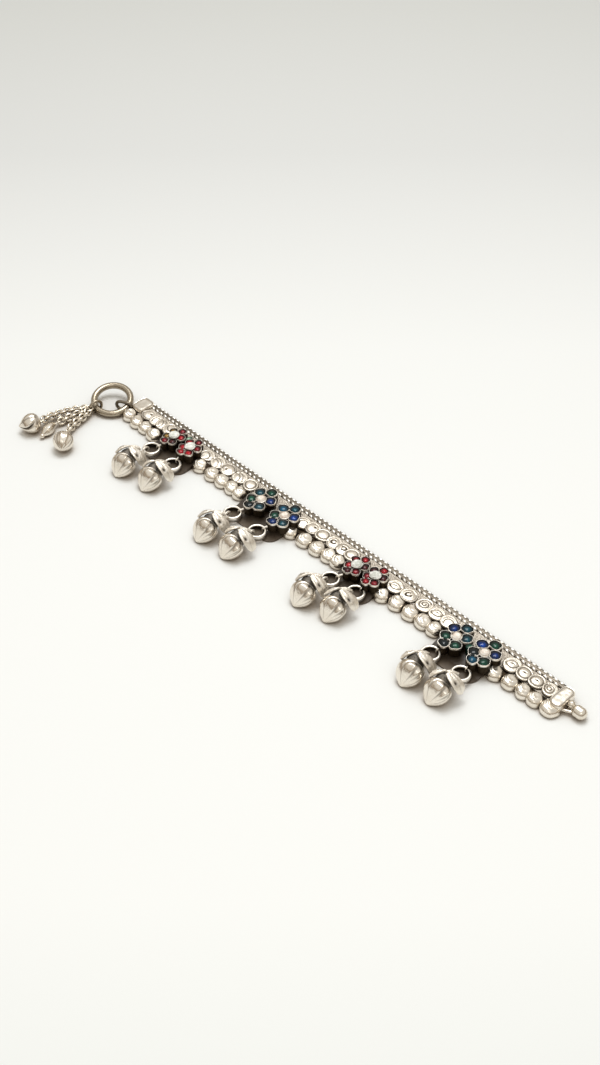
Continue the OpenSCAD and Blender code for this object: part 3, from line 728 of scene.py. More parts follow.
# %% One petal cell
def petal_edge(flower, petal, seed, around=40):
    """The outline of a petal's cell: a soft squarish oval, each one a little different."""
    luck = np.random.default_rng(seed)
    size = flower[2]
    t = np.linspace(0, 2 * np.pi, around, endpoint=False)
    deep, wide, power = 2.12 * size, 2.28 * size, 2.7
    r = (np.abs(np.cos(t) / deep) ** power + np.abs(np.sin(t) / wide) ** power) ** (-1 / power)
    r = r * (1 + 0.035 * np.cos(2 * t + luck.uniform(0, 6.28))
             + 0.03 * np.cos(3 * t + luck.uniform(0, 6.28)))
    a = math.radians(petal[0])
    x, y = r * np.cos(t), r * np.sin(t)
    return np.stack([x * math.cos(a) - y * math.sin(a), x * math.sin(a) + y * math.cos(a)], 1)


def petal_outlines(number, flower):
    """The middle and the outline of each petal of a flower."""
    return [(petal_middle(flower, petal), petal_edge(flower, petal, 10 * number + k))
            for k, petal in enumerate(PETALS)]


def stack_outline(middle, outline, rows, tint=(1, 1, 1)):
    """A skin over one outline, repeated at rows of its share, its height and its shade."""
    rings = [np.column_stack([middle + share * outline, np.full(len(outline), z)])
             for share, z, _ in rows]
    return skin(rings, np.array([shade for _, _, shade in rows])[:, None], tint)


RIM_TOP = 6.6
CELL_ROWS = [(0.94, 2.4, 1), (0.98, 3.4, 1), (1.0, 4.8, 1), (1.0, 5.75, 1), (1.0, 5.9, 0.2),
             (0.995, 6.25, 0), (0.98, 6.48, 0), (0.95, RIM_TOP, 0), (0.915, RIM_TOP, 0),
             (0.895, 6.5, 0), (0.885, 6.35, 0.2), (0.88, 5.9, 1), (0.5, 5.6, 1)]
print("rows in a cell's wall:", len(CELL_ROWS))

# %% Floor and bezels
FLOOR_ROWS = [(0.9, 3.0, 1), (1, 5.3, 1), (0.5, 5.4, 1)]
RED_BEZEL = [(0.55, 5.2, 1), (0.7, 6.1, 1), (0.86, 6.7, 0.6), (0.9, 7.0, 0.2), (0.88, 7.15, 0),
             (0.84, 7.18, 0), (0.8, 7.1, 0.6), (0.76, 7.0, 1)]
BLUE_BEZEL = [(0.9, 5.0, 1), (0.96, 6.0, 0.8), (1.0, 6.5, 0), (0.99, 6.72, 0), (0.93, 6.78, 0),
              (0.88, 6.6, 0.5), (0.86, 5.8, 1)]


def round_outline(radius, around=40):
    """A plain circle of points."""
    t = np.linspace(0, 2 * np.pi, around, endpoint=False)
    return radius * np.stack([np.cos(t), np.sin(t)], 1)


def is_red(flower):
    """The small flowers are the red ones."""
    return flower[2] < 1


print("red flowers:", sum(is_red(flower) for flower in FLOWERS))

# %% The whole setting
def flower_setting(number, flower):
    """Cells, floor and bezel of one flower, and the eye that holds its ring."""
    middle, ring, low = np.array(flower[:2]), np.array(flower[3:5]), petal_middle(flower, PETALS[4])
    bezel, wide = (RED_BEZEL, 2.3) if is_red(flower) else (BLUE_BEZEL, 2.1)
    shapes = [stack_outline(*petal, CELL_ROWS) for petal in petal_outlines(number, flower)]
    shapes.append(stack_outline(middle, round_outline(3.9 * flower[2]), FLOOR_ROWS))
    shapes.append(stack_outline(middle, round_outline(wide), bezel))
    way = unit(low - ring)
    eye = ring + DROP_RING * way
    shapes.append(ring_of_wire([*eye, 2.85], [*way, 0], [0, 0, 1], 1.1, 0.3, steps=28, around=10))
    stalk = [[*(eye + 0.2 * way), 3.9], [*(eye + 0.5 * low - 0.5 * eye), 4.3], [*low, 4.6]]
    shapes.append(wire(stalk, 0.45, around=10))
    return shapes


for number, flower in enumerate(FLOWERS, 1):
    make_piece(f"flower_setting_{number}", flower_setting(number, flower), silver["rim"],
               stands_for=[f"setting_{number}"])
print("settings:", len(FLOWERS))

# %% [markdown]
# ## The petal stones
# The stones are small domes of glass. Their colours were noted from the piece one by one: blue, teal and
# green in the large flowers, reds in the small ones, with a few so dark that they look empty. Each dome's
# colour is painted darkest at its edge and brightest off its middle, on the side away from the light: a
# painted glow of the light that comes back from the foil of a foiled stone.

# %% Colours of the stones
TEAL, GREEN, BLUE = (0.002, 0.07, 0.10), (0.002, 0.075, 0.04), (0.002, 0.028, 0.17)
SAPPHIRE, PALE_TEAL = (0.003, 0.045, 0.28), (0.004, 0.10, 0.19)
INK, RED, DEEP_RED = (0.006, 0.012, 0.014), (0.52, 0.002, 0.012), (0.26, 0.002, 0.010)
EMPTY, AMBER = (0.07, 0.006, 0.006), (0.30, 0.17, 0.03)
STONES = [
    [AMBER, DEEP_RED, RED, EMPTY, DEEP_RED, AMBER],
    [RED, DEEP_RED, DEEP_RED, RED, RED, RED],
    [TEAL, GREEN, BLUE, TEAL, INK, GREEN],
    [PALE_TEAL, TEAL, SAPPHIRE, TEAL, BLUE, GREEN],
    [DEEP_RED, RED, EMPTY, DEEP_RED, EMPTY, RED],
    [EMPTY, RED, EMPTY, DEEP_RED, RED, DEEP_RED],
    [BLUE, TEAL, TEAL, GREEN, INK, GREEN],
    [SAPPHIRE, GREEN, BLUE, GREEN, PALE_TEAL, INK],
]
print("colours in each flower:", [len(set(row)) for row in STONES])

# %% Domes of glass
DOME_FOOT, DOME_TOP = 5.65, 6.95
DOME_SHARES = np.array([0.88, 0.87, 0.83, 0.73, 0.6, 0.45, 0.3, 0.15, 0.04])
DOME_RISES = np.array([0, 0.22, 0.42, 0.62, 0.77, 0.88, 0.95, 0.99, 1])
PAINTED_GLOW_AT, PAINTED_GLOW_WIDE = np.array([0.18, -0.2]), 0.4


def glass_dome(middle, outline, colour, high=DOME_TOP):
    """A domed stone whose colour is painted dark at the edge and painted bright off its middle, a painted
    glow.
    """
    z = DOME_FOOT + (high - DOME_FOOT) * DOME_RISES
    rings = np.stack([np.column_stack([middle + share * outline, np.full(len(outline), height)])
                      for share, height in zip(DOME_SHARES, z)])
    # painted glow: the colour is brightest off the middle and darkest at the edge
    off = (rings[..., :2] - middle) / np.abs(outline).max() - PAINTED_GLOW_AT
    painted_glow = 0.1 + 1.3 * np.exp(-((np.linalg.norm(off, axis=-1) / PAINTED_GLOW_WIDE) ** 2))
    return skin(rings, 0.0, np.clip(painted_glow[..., None] * np.array(colour), 0, 1))


for number, flower in enumerate(FLOWERS, 1):
    domes = [glass_dome(*petal, colour)
             for petal, colour in zip(petal_outlines(number, flower), STONES[number - 1])]
    make_piece(f"petal_glass_{number}", domes, petal_glass,
               stands_for=[f"petal_stones_{number}"])
print("petal stones:", len(FLOWERS) * len(PETALS))

# %% [markdown]
# ## The centre stones
# A whitish cut stone stands in the middle of each flower. It has a flat table and a ring of
# facets, and hard wear has made it look like a little rough crystal. Flat faces with no
# smoothing give the facets, and a small shift of each corner the wear.

# %% Cut centre stones
CORNERS = 16


def cut_crystal_shape(middle, radius, low, high, seed):
    """A cut stone with a girdle, two rows of facets and a table."""
    luck = np.random.default_rng(seed)
    rows = [(0.8, low, 0), (1.0, low + 0.3, 0), (0.97, low + 0.45, 0),
            (0.8, low + 0.72 * (high - low), 0.5), (0.52, high, 0)]
    rings = []
    for share, z, turned_by in rows:
        t = (np.arange(CORNERS) + turned_by) * 2 * np.pi / CORNERS
        r = share * radius * (1 + luck.normal(0, 0.05, CORNERS))
        rings.append(np.column_stack([middle[0] + r * np.cos(t), middle[1] + r * np.sin(t),
                                      z + luck.normal(0, 0.03, CORNERS)]))
    rings[-1][:, 2] = high
    return skin(rings)


for number, flower in enumerate(FLOWERS, 1):
    stone, wide, low, high = ((white_crystal, 2.15, 6.9, 8.2) if is_red(flower)
                              else (cream_crystal, 1.9, 5.75, 7.5))
    shape = cut_crystal_shape(flower[:2], wide, low, high, 80 + number)
    make_piece(f"centre_crystal_{number}", [shape], stone,
               stands_for=[f"centre_stone_{number}"], crisp=8)
print("centre stones:", len(FLOWERS))

# %% Small green stones
LEAF_STONES = [
    # middle, half width and half depth, colour
    ((34.8, -7.3), (1.35, 1.9), (0.42, 0.62, 0.45)),
    ((185.8, -12.4), (1.9, 1.7), (0.01, 0.13, 0.075)),
]
LEAF_STONE_TOP, LEAF_STONE_FOOT = 6.2, [(0.8, 2.7, 1), (0.82, 4.5, 1), (0.8, 5.7, 1)]
bits = []
for place, size, colour in LEAF_STONES:
    outline = round_outline(1.0) * size
    bits.append(glass_dome(np.array(place), outline, colour, LEAF_STONE_TOP))
    bits.append(stack_outline(np.array(place), outline, LEAF_STONE_FOOT, (0.01, 0.03, 0.02)))
make_piece("leaf_glass", bits, petal_glass, stands_for=["leaf_stones"])
print("green stones:", len(LEAF_STONES))

# %% [markdown]
# ## The buds
# A bud was raised from two shells and chased by hand: a sharp ridge runs from its tip to
# its middle, with softer ridges and folds beside it, all inside a rim. It starts as a
# turned shape, a little flatter on top. Each point is then moved out for the ridges and in
# for the rim, which is what chasing does to the real metal. The tip sinks to the surface.

# %% Where a drop lies
DROP_HIGH, DROP_TO_TIP = 5.06, 6.9


def bud_axes(flower):
    """The heart of a drop and its own directions: right, along and up."""
    turn = math.radians(flower[7])
    along = np.array([math.sin(turn), -math.cos(turn), 0])
    side = np.array([math.cos(turn), math.sin(turn), 0])
    heart = np.array([flower[5], flower[6], DROP_HIGH]) - DROP_TO_TIP * along
    return heart, np.array([side, along, [0, 0, 1.0]])


print("the first drop's heart is at", bud_axes(FLOWERS[0])[0].round(1))

# %% Curves and angles
def smooth_through(table, at):
    """A smooth curve through a table of points, read at some places."""
    x, y = table[:, 0], table[:, 1]
    slope = np.gradient(y, x)
    k = np.clip(np.searchsorted(x, at, side="right") - 1, 0, len(x) - 2)
    h = x[k + 1] - x[k]
    s = (at - x[k]) / h
    return ((2 * s ** 3 - 3 * s ** 2 + 1) * y[k] + (s ** 3 - 2 * s ** 2 + s) * h * slope[k]
            + (3 * s ** 2 - 2 * s ** 3) * y[k + 1] + (s ** 3 - s ** 2) * h * slope[k + 1])


def from_angle(a, line):
    """How far an angle is from a line's angle, the short way round."""
    return np.angle(np.exp(1j * (a - line)))


print("from 3 to -3 is", round(float(from_angle(3, -3)), 2), "the short way round")

# %% The shape of one bud
BUD_RADIUS, BUD_BACK, BUD_FRONT = 4.95, 3.8, 4.0
HEART_HIGH, TIP_HIGH = 5.0, 0.95
BUD_FORWARD, BUD_SQUASH = 2.9, 0.85
BUD_TABLE = np.array([
    # share of the length, share of the radius
    (0, 0.25), (0.04, 0.52), (0.12, 0.8), (0.22, 0.95), (0.36, 1), (0.5, 1.0), (0.62, 0.95),
    (0.73, 0.85), (0.82, 0.68), (0.89, 0.48), (0.94, 0.31), (0.97, 0.2), (1, 0.04),
])
BUD_RIDGES = [
    # place beside the main ridge, height, softness, how far it reaches
    (-1, 0.28, 0.34, 0.8), (0, 0.8, 0.2, 1.1), (1, 0.62, 0.16, 0.9), (2, 0.5, 0.14, 0.82),
]


def chased_bud(flower, seed, rows=72, around=112):
    """A bud with its rim, ridges and folds; its tip sinks to the surface that it lies on."""
    luck = np.random.default_rng(seed)
    heart, axes = bud_axes(flower)
    heart = heart + BUD_FORWARD * axes[1] + [0, 0, HEART_HIGH - heart[2]]
    t = np.clip((1 - np.cos(np.linspace(0, np.pi, rows))) / 2, 0.002, 1)[:, None]
    a = np.linspace(0, 2 * np.pi, around, endpoint=False)[None, :]
    radius = BUD_RADIUS * smooth_through(BUD_TABLE, t) + 0 * a
    late = np.clip((t - 0.42) / 0.58, 0, 1) ** 1.9
    face = (np.abs(from_angle(a, 0.55)) / 1.0) ** 3 + (np.clip(1 - t, 0, 1) / 0.76) ** 3
    face = face ** (1 / 3)
    rim = groove(face - 1.0, 0.055)
    inside = np.clip((0.97 - face) / 0.12, 0, 1) * np.clip((1 - t) / 0.22, 0, 1)
    inside = inside * np.clip((t - 0.3) / 0.2, 0, 1)
    push = -0.26 * rim - 0.1 * inside
    shade = 0.4 * rim
    main = 0.45 + luck.normal(0, 0.08)
    for k, tall, soft, ends in BUD_RIDGES:
        line = main + 0.5 * k * (1.35 - 0.6 * t) + luck.normal(0, 0.04)
        off = from_angle(a, line)
        lasts = inside * np.clip((ends - t) / 0.22, 0, 1)
        push = push + lasts * tall * np.exp(-np.abs(off) / np.where(off < 0, soft, 0.6 * soft))
        # painted shade: a dark line runs along one side of each ridge
        shade = np.maximum(shade, 0.6 * lasts * groove(off - 0.2, 0.07) * (k >= 0))
    radius = np.maximum(radius + push * np.clip((1 - t) / 0.08, 0, 1), 0.05)
    high = HEART_HIGH - (HEART_HIGH - TIP_HIGH) * late
    squash = np.where(np.cos(a) < 0, np.minimum(1, (high - 0.05) / radius), BUD_SQUASH)
    local = np.stack([-0.8 * late + radius * np.sin(a),
                      -BUD_BACK + t * (BUD_BACK + BUD_FRONT) + 0 * a,
                      high - HEART_HIGH + radius * np.cos(a) * squash], -1)
    return skin(heart + local @ axes, shade)


print("a bud is", BUD_BACK + BUD_FRONT, "mm long and", 2 * BUD_RADIUS, "mm wide")

# %% [markdown]
# ## The leaves, the cap and the bail
# Three leaves wrap the back of each bud: a large spoon-like one that droops to the right, a slim one along
# the left shoulder and a short one on top. They are bent pieces of sheet with a rough hammered skin. Each
# one is given by four points, its root, its tip and the middles of its two edges, and a grid bent through
# these four makes the blade. Where they part, a rough ball stored dark fills the gap: painted shade where
# the cap lies in shadow. The undersides of the leaves and the hole in the large one are stored dark as well,
# as painted shade.

# %% A bent leaf
LEAF_THICK, LEAF_BOW = 0.6, 0.5


def bent_leaf(flower, root, tip, inner, outer, seed, blunt, painted_hole, rows=30, across=21):
    """A leaf through four points of the bud's own space: right, along and up."""
    luck = np.random.default_rng(seed)
    heart, axes = bud_axes(flower)
    root, tip, inner, outer = (np.array(v, float) + luck.normal(0, 0.12, 3)
                               for v in (root, tip, inner, outer))
    p = np.linspace(0, 1, rows)[:, None, None]
    q = np.linspace(-1, 1, across)[None, :, None]
    bend = inner + outer - (root + tip) / 2
    line = (1 - p) ** 2 * root + 2 * p * (1 - p) * bend + p ** 2 * tip
    ahead = 2 * (1 - p) * (bend - root) + 2 * p * (tip - bend)
    half = (outer - inner) / 2
    full = np.sin(np.pi * np.clip(p, 0.03, 0.985)) ** blunt
    away = np.cross(np.broadcast_to(ahead, (rows, 1, 3)), half)
    away = away / np.linalg.norm(away, axis=-1, keepdims=True)
    away = away * np.sign((away * line).sum(-1, keepdims=True))
    knobs = 0.12 * np.sin(9 * p + 3 * q + luck.uniform(0, 6)) * np.cos(6 * q - 4 * p + luck.uniform(0, 6))
    edge = 0.16 * groove(np.maximum(np.abs(q), np.abs(2 * p - 1) ** 2) - 0.85, 0.12)
    vein = 0.12 * groove(q + 0.1 * np.sin(3 * p), 0.12) * np.sin(np.pi * p)
    shade = 2.0 * vein + 0 * q
    # painted shadow: a shallow pit stored dark stands for the hole in the leaf
    if painted_hole:
        pit = groove(np.hypot((p - painted_hole[0]) * 2.4, q - painted_hole[1]), 0.2)
        vein, shade = vein + 0.7 * pit, np.maximum(shade, 1.2 * pit)
    bow = LEAF_BOW * (1 - q ** 2) * full
    over = line + q * half * full + away * (bow + knobs + edge - vein)
    under = line + q * half * full * 0.9 + away * (bow - LEAF_THICK)
    # painted shade: the underside of each leaf is stored dark
    shade = np.concatenate([np.clip(shade[..., 0], 0, 1), np.full((rows, across), 0.9)], 1)
    return skin(heart + np.concatenate([over, under[:, ::-1]], 1) @ axes, shade)


print("a leaf is", LEAF_THICK, "mm thick")

# %% Balls and the table of leaves
def knobbly_ball(middle, radius, seed, rows=12, around=18, rough=0.1, deep=0.0):
    """A small hand-made ball with a lumpy skin."""
    luck = np.random.default_rng(seed)
    p = np.linspace(0.12, np.pi - 0.12, rows)[:, None]
    a = np.linspace(0, 2 * np.pi, around, endpoint=False)[None, :]
    lumps = np.sin(3 * a + luck.uniform(0, 6)) * np.sin(4 * p + luck.uniform(0, 6))
    r = radius * (1 + rough * lumps)
    rings = np.stack([r * np.sin(p) * np.cos(a), r * np.sin(p) * np.sin(a), -r * np.cos(p)], -1)
    return skin(np.asarray(middle) + rings, deep)


# a dark ball under the leaves, as painted shade
SHADE_CORE_AT, SHADE_CORE_RADIUS = np.array([-0.7, -1.2, 0.6]), 3.3
LEAVES = [
    # root, tip, middle of the inner edge, middle of the outer edge, bluntness, painted hole
    ((0.1, -2.2, 5.2), (6.0, -2.6, -2.0), (4.6, 0.3, 3.4), (5.0, -4.6, 2.2), 0.32, (0.42, -0.35)),
    ((-1.5, -3.1, 4.3), (-4.9, 1.4, 2.0), (-3.0, -0.3, 4.3), (-4.8, -1.9, 2.7), 0.7, None),
    ((-1.6, -3.0, 4.2), (2.4, -5.4, 3.4), (0.9, -3.4, 4.9), (0.2, -5.6, 3.2), 0.5, None),
]
print("leaves on a bud:", len(LEAVES))

# %% The ring of each drop
RING_BAND = [
    # step out, height, shade
    (-0.28, 1.25, 0.9), (-0.2, 1.15, 0.9), (0.2, 1.15, 0.7), (0.3, 1.3, 0.6), (0.36, 2.1, 0.4),
    (0.5, 2.4, 0), (0.5, 2.75, 0), (0.5, 2.95, 0), (0.4, 3.15, 0), (0.22, 3.27, 0), (0, 3.3, 0),
    (-0.22, 3.27, 0), (-0.4, 3.15, 0), (-0.5, 2.95, 0.1), (-0.46, 2.75, 0.6), (-0.34, 2.5, 1),
    (-0.28, 2.0, 1),
]


def band_ring(middle, radius, section, around=72):
    """A ring turned from a closed section."""
    a = np.linspace(0, 2 * np.pi, around, endpoint=False)[:, None]
    out, z, deep = np.array(section).T
    r = radius + out
    rings = np.stack([middle[0] + r * np.cos(a), middle[1] + r * np.sin(a), z + 0 * a], -1)
    return closed_skin(rings, deep)


print("points round a ring's section:", len(RING_BAND))

# %% Put the drops together
CAP_BACK, BAIL_HIGH, BAIL_RADIUS = 3.7, 3.35, 1.75
for number, flower in enumerate(FLOWERS, 1):
    heart, axes = bud_axes(flower)
    cap = heart - CAP_BACK * axes[1]
    ring = np.array([*flower[3:5], 0])
    to_cap = unit((cap - ring) * [1, 1, 0])
    bail = ring + DROP_RING * to_cap + [0, 0, BAIL_HIGH]
    neck = bail + BAIL_RADIUS * to_cap + [0, 0, 0.3]
    make_piece(f"bud_ring_{number}", [band_ring(ring, DROP_RING, RING_BAND)], silver["rim"],
               stands_for=[f"drop_ring_{number}"])
    make_piece(f"silver_bud_{number}", [chased_bud(flower, 40 + number)], silver["pearl"],
               stands_for=[f"drop_{number}"], crisp=60)
    leaves = [bent_leaf(flower, *leaf[:4], 10 * number + k, *leaf[4:]) for k, leaf in enumerate(LEAVES)]
    # painted shade: a rough ball stored dark fills the gap under the leaves
    shade_core = heart + SHADE_CORE_AT @ axes
    leaves += [knobbly_ball(shade_core, SHADE_CORE_RADIUS, number, rows=20, around=30, rough=0.04, deep=0.8),
               knobbly_ball(cap + [0, 0, 0.6], 1.9, number),
               wire([neck, 0.5 * (neck + cap) + [0, 0, 0.1], cap], 0.85),
               ring_of_wire(bail, to_cap, [0, 0, 1], BAIL_RADIUS, 0.45, steps=32)]
    make_piece(f"bud_leaves_{number}", leaves, silver["textured"])
print("drops:", len(FLOWERS))

# %% [markdown]
# ## The hook
# The hook is a thick peg with a round end. A ball sits where it meets the band, and a short
# tongue of wire comes back beside it. The peg is a wire whose radius grows quickly at its
# start and closes in at its end.

# %% Hook
PEG_FROM, PEG_TO, PEG_WIDE = np.array([226.2, -6.3, 2.3]), np.array([229.45, -6.4, 2.3]), 2.25
NECK_LINE = [[223.0, -6.1, 2.3], [225.0, -6.1, 2.3], [227.0, -6.5, 2.2]]
TONGUE_LINE = [[223.8, -8.9, 1.5], [225.0, -8.4, 1.6], [226.8, -7.6, 1.8]]
share = np.linspace(-1, 1, 22)
peg_line = PEG_FROM + (share[:, None] + 1) / 2 * (PEG_TO - PEG_FROM + [PEG_WIDE, 0, 0])
peg_full = PEG_WIDE * np.sqrt(np.clip(1 - np.clip((share - 0.25) / 0.755, 0, 1) ** 2, 0.002, 1))
peg_full = peg_full * np.clip((share + 1) / 0.5, 0.2, 1) ** 0.4
hook_shapes = [wire(peg_line, peg_full, around=36), wire(NECK_LINE, 1.0, around=20),
               knobbly_ball([225.3, -6.1, 3.2], 1.4, 3, rough=0.02), wire(TONGUE_LINE, 0.55)]
make_piece("fat_hook", hook_shapes, silver["bright"], stands_for=["hook"])
print("the peg is", 2 * PEG_WIDE, "mm thick")

# %% [markdown]
# ## The tassel
# A small jump ring hangs on the closing ring. It holds a wide link with three short
# chains. The links are round wire and each one is turned a quarter against the last, so
# that they truly hold one another. The chains lie in easy curves, drawn here with four
# points each.

# %% Ways of the three chains
CLOSE_AT, CLOSE_R, TASSEL_ANGLE = np.array([-8.5, -11.25, 3.4]), 7.5, math.radians(-103)
CLOSE_SLOPE = (-0.14, 0.167)  # how the lying closing ring rises along x and along y
out_way = np.array([math.cos(TASSEL_ANGLE), math.sin(TASSEL_ANGLE), 0])
tassel_at = CLOSE_AT + CLOSE_R * out_way
tassel_at[2] += CLOSE_SLOPE[0] * CLOSE_R * out_way[0] + CLOSE_SLOPE[1] * CLOSE_R * out_way[1] + 0.65
wide_at = tassel_at + 3.25 * out_way - [0, 0, 0.1]
CHAINS = [
    # angle and reach at the start, the point before the end, the end
    (-142, 4.0, [-21.0, -36.0, 2.0], [-17.4, -40.8, 3.6]),
    (-100, 3.5, [-14.1, -32.5, 2.0], [-13.9, -36.9, 2.1]),
    (-58, 3.0, [-9.3, -33.5, 2.0], [-5.3, -37.4, 3.0]),
]
LINK_STEP, LOOP_STEP = 1.78, 1.4


def chain_way(angle, reach, via, end, steps=41):
    """A smooth curve that leaves the wide link at an angle and ends at its drop."""
    out = np.array([math.cos(math.radians(angle)), math.sin(math.radians(angle)), 0])
    start = wide_at + 1.81 * out
    handle = start + reach * out - [0, 0, 0.4]
    t = np.linspace(0, 1, steps)[:, None]
    return ((1 - t) ** 3 * start + 3 * t * (1 - t) ** 2 * handle
            + 3 * t ** 2 * (1 - t) * np.array(via) + t ** 3 * np.array(end))


def walk(line, distance):
    """The point at a distance along a line, going straight on past its end."""
    lengths = np.linalg.norm(np.diff(line, axis=0), axis=1)
    k = 0
    while distance > lengths[k] and k < len(lengths) - 1:
        distance -= lengths[k]
        k += 1
    return line[k] + distance / lengths[k] * (line[k + 1] - line[k])


def heading(line, distance):
    """The direction of a line round a distance along it."""
    return unit(walk(line, distance + 0.7) - walk(line, max(distance - 0.7, 0)))


def links_on(line):
    """How many links fit on a line before the loop of its drop."""
    length = np.linalg.norm(np.diff(line, axis=0), axis=1).sum()
    return int((length - LOOP_STEP) / LINK_STEP) + 1


ways = [chain_way(*chain) for chain in CHAINS]
print("links in the chains:", [links_on(way) for way in ways])

# %% Links and rings
def oval_link(way, distance, odd, long, wide, thick, around):
    """An oval link of wire at a distance along its way, turned an eighth to one side, or to
    the other if it is odd."""
    middle, direction = walk(way, distance), heading(way, distance)
    level = unit(np.cross(np.cross(direction, [0, 0, 1.0]), direction))
    upright = unit(level + (1 if odd else -1) * np.cross(direction, level))
    across = unit(np.cross(upright, direction))
    t = np.linspace(0, 2 * np.pi, 22, endpoint=False)[:, None]
    line = middle + long * np.cos(t) * direction + wide * np.sin(t) * across
    return wire(line, thick, around=around, closed=True)


chain_links = [ring_of_wire(wide_at + [0, 0, 0.3], [1, 0, 0], [0, 1, 0], 1.6, 0.42, steps=32, around=10)]
for way in ways:
    chain_links += [oval_link(way, k * LINK_STEP, k % 2, 1.5, 1.32, 0.5, 10)
                    for k in range(links_on(way))]
make_piece("tassel_links", chain_links, silver["chain"], stands_for=["tassel_chain"])
jump_ring = ring_of_wire(tassel_at, out_way, [0, 0, 1], 2.5, 0.6, steps=44)
make_piece("tassel_jump_ring", [jump_ring], silver["grey"], stands_for=["tassel_ring"])
print("tassel links:", len(chain_links))

# %% [markdown]
# ## The three tassel drops
# The left drop is a seamed acorn, the middle one a slim petal with a ball at its tip and
# the right one a round bud with ribs. All three are turned shapes. The seam and the ribs
# come from moving the points of the turned skin, as a chaser would press the metal.

# %% Turned drops
def turned(middle, tip, profile, change, around=64, rows=44):
    """A turned shape along the way from middle to tip, through places and radii of a profile;
    change(t, angle) moves its skin and shades it."""
    along = unit(np.subtract(tip, middle))
    side = unit(np.cross(along, [0, 0, 1]))
    up = np.cross(side, along)
    profile = np.array(profile, float)
    t, s = np.linspace(0, 1, rows), np.linspace(0, 1, len(profile))
    x = smooth_through(np.column_stack([s, profile[:, 0]]), t)[:, None]
    r = np.maximum(smooth_through(np.column_stack([s, profile[:, 1]]), t), 0.02)[:, None]
    a = np.linspace(0, 2 * np.pi, around, endpoint=False)[None, :]
    push, shade = change(t[:, None], a)
    r = r * (1 + push)
    rings = (np.asarray(middle) + along * (x + 0 * a)[..., None]
             + up * (r * np.cos(a))[..., None] + side * (r * np.sin(a))[..., None])
    rings[..., 2] = np.maximum(rings[..., 2], OFF_FLOOR)
    return skin(rings, shade)


def seam(t, a):
    """A dark slit along the acorn's lower side, with a bright lip over it, and a seam above."""
    low = from_angle(a, -1.5 + 0.9 * (t - 0.75) ** 2 * 4)
    slit = groove(low, 0.13) * np.clip((t - 0.3) / 0.15, 0, 1) * np.clip((0.97 - t) / 0.1, 0, 1)
    lip = groove(low - 0.3, 0.16) * np.clip((t - 0.3) / 0.2, 0, 1)
    fold = groove(from_angle(a, -0.25 - 0.4 * (t - 0.5)), 0.09) * np.clip((t - 0.2) / 0.1, 0, 1)
    cap = groove(t - 0.26, 0.035)
    push = -0.2 * slit + 0.08 * lip - 0.09 * fold - 0.06 * cap
    return push, np.clip(1.4 * slit + 0.6 * fold + 0.4 * cap, 0, 1)


def ribs(t, a):
    """Folds that fan out from the tip, inside a rim."""
    face = ((np.abs(from_angle(a, -0.35)) / 1.0) ** 3 + ((1 - t) / 0.8) ** 3) ** (1 / 3)
    rim = groove(face - 1.0, 0.07)
    inside = np.clip((0.96 - face) / 0.12, 0, 1) * np.clip((1 - t) / 0.12, 0, 1)
    folds = sum(np.exp(-np.abs(from_angle(a, -0.45 + 0.5 * k)) / 0.13) for k in (-1, 0, 1))
    return inside * (0.17 * folds - 0.05) - 0.08 * rim, 0.5 * rim


def petal_fold(t, a):
    """A slim ridge along the top of the petal."""
    return 0.15 * np.exp(-np.abs(from_angle(a, -0.5)) / 0.2), 0.0 * t * a


print("a drop is changed by a seam, a fold or ribs")

# %% Hang the drops on their chains
ACORN = [(-4, 0.3), (-3.8, 1.9), (-2.6, 3.5), (-0.6, 4.1), (1.2, 3.75), (2.8, 2.7), (4.2, 1.1), (5.0, 0.1)]
PETAL = [(-4.2, 0.3), (-3.6, 0.9), (-1.8, 1.8), (0, 2.15), (1.8, 1.75), (3.4, 0.7), (3.6, 0.1)]
RIBBED = [(-4.2, 0.4), (-3.9, 1.8), (-2.4, 3.5), (-0.2, 4.15), (1.5, 3.85), (3.2, 2.8), (4.5, 1.1),
          (5, 0.1)]
TASSEL_DROPS = [
    ([-19.2, -45.0, 4.02], [-21.7, -49.0, 3.4], ACORN, seam),
    ([-13.0, -41.2, 2.2], [-12.3, -44.9, 1.5], PETAL, petal_fold),
    ([-1.0, -42.7, 4.25], [2.3, -46.5, 3.6], RIBBED, ribs),
]
for number, (way, (middle, tip, profile, change)) in enumerate(zip(ways, TASSEL_DROPS), 1):
    last = links_on(way) - 1
    spot = last * LINK_STEP + LOOP_STEP
    loop_at = walk(way, spot)
    stalk = [loop_at + 0.9 * heading(way, spot), 0.5 * (loop_at + np.array(middle)), middle]
    shapes = [turned(middle, tip, profile, change),
              oval_link(way, spot, last % 2 == 0, 0.9, 0.8, 0.36, 9), wire(stalk, 0.55)]
    if profile is PETAL:
        shapes.append(knobbly_ball(tip, 0.98, 90, rough=0.02))
    make_piece(f"tassel_bud_{number}", shapes, silver["pearl"],
               stands_for=[f"tassel_drop_{number}"], crisp=60)
print("tassel drops:", len(TASSEL_DROPS))

# %% [markdown]
# ## The surface and the light
# The anklet lies on white paper under one large soft light above and behind it, with the room's white walls
# all round. Silver shows what it reflects, so the room is brown and dim low down: without that every curve
# would be plain white. The paper is painted a little darker far behind, a painted falloff of the light, and
# takes a painted warm shade where the anklet nearly touches it. The paper and the lights aren't part of the
# anklet.

# %% White surface
PAINTED_FALLOFF_TONES = [(0.0, (0.79, 0.81, 0.80))]
PAINTED_FALLOFF_TONES += [(at, (0.985 * grey, grey, 0.99 * grey))
                for at, grey in [(0.08, 0.83), (0.3, 0.795), (0.49, 0.75), (0.6, 0.69), (0.74, 0.62)]]
PAINTED_FALLOFF_TONES += [(1.0, (0.58, 0.59, 0.575))]
PAPER_SHADE, PAPER_HALF = (0.34, 0.25, 0.16), 3.0


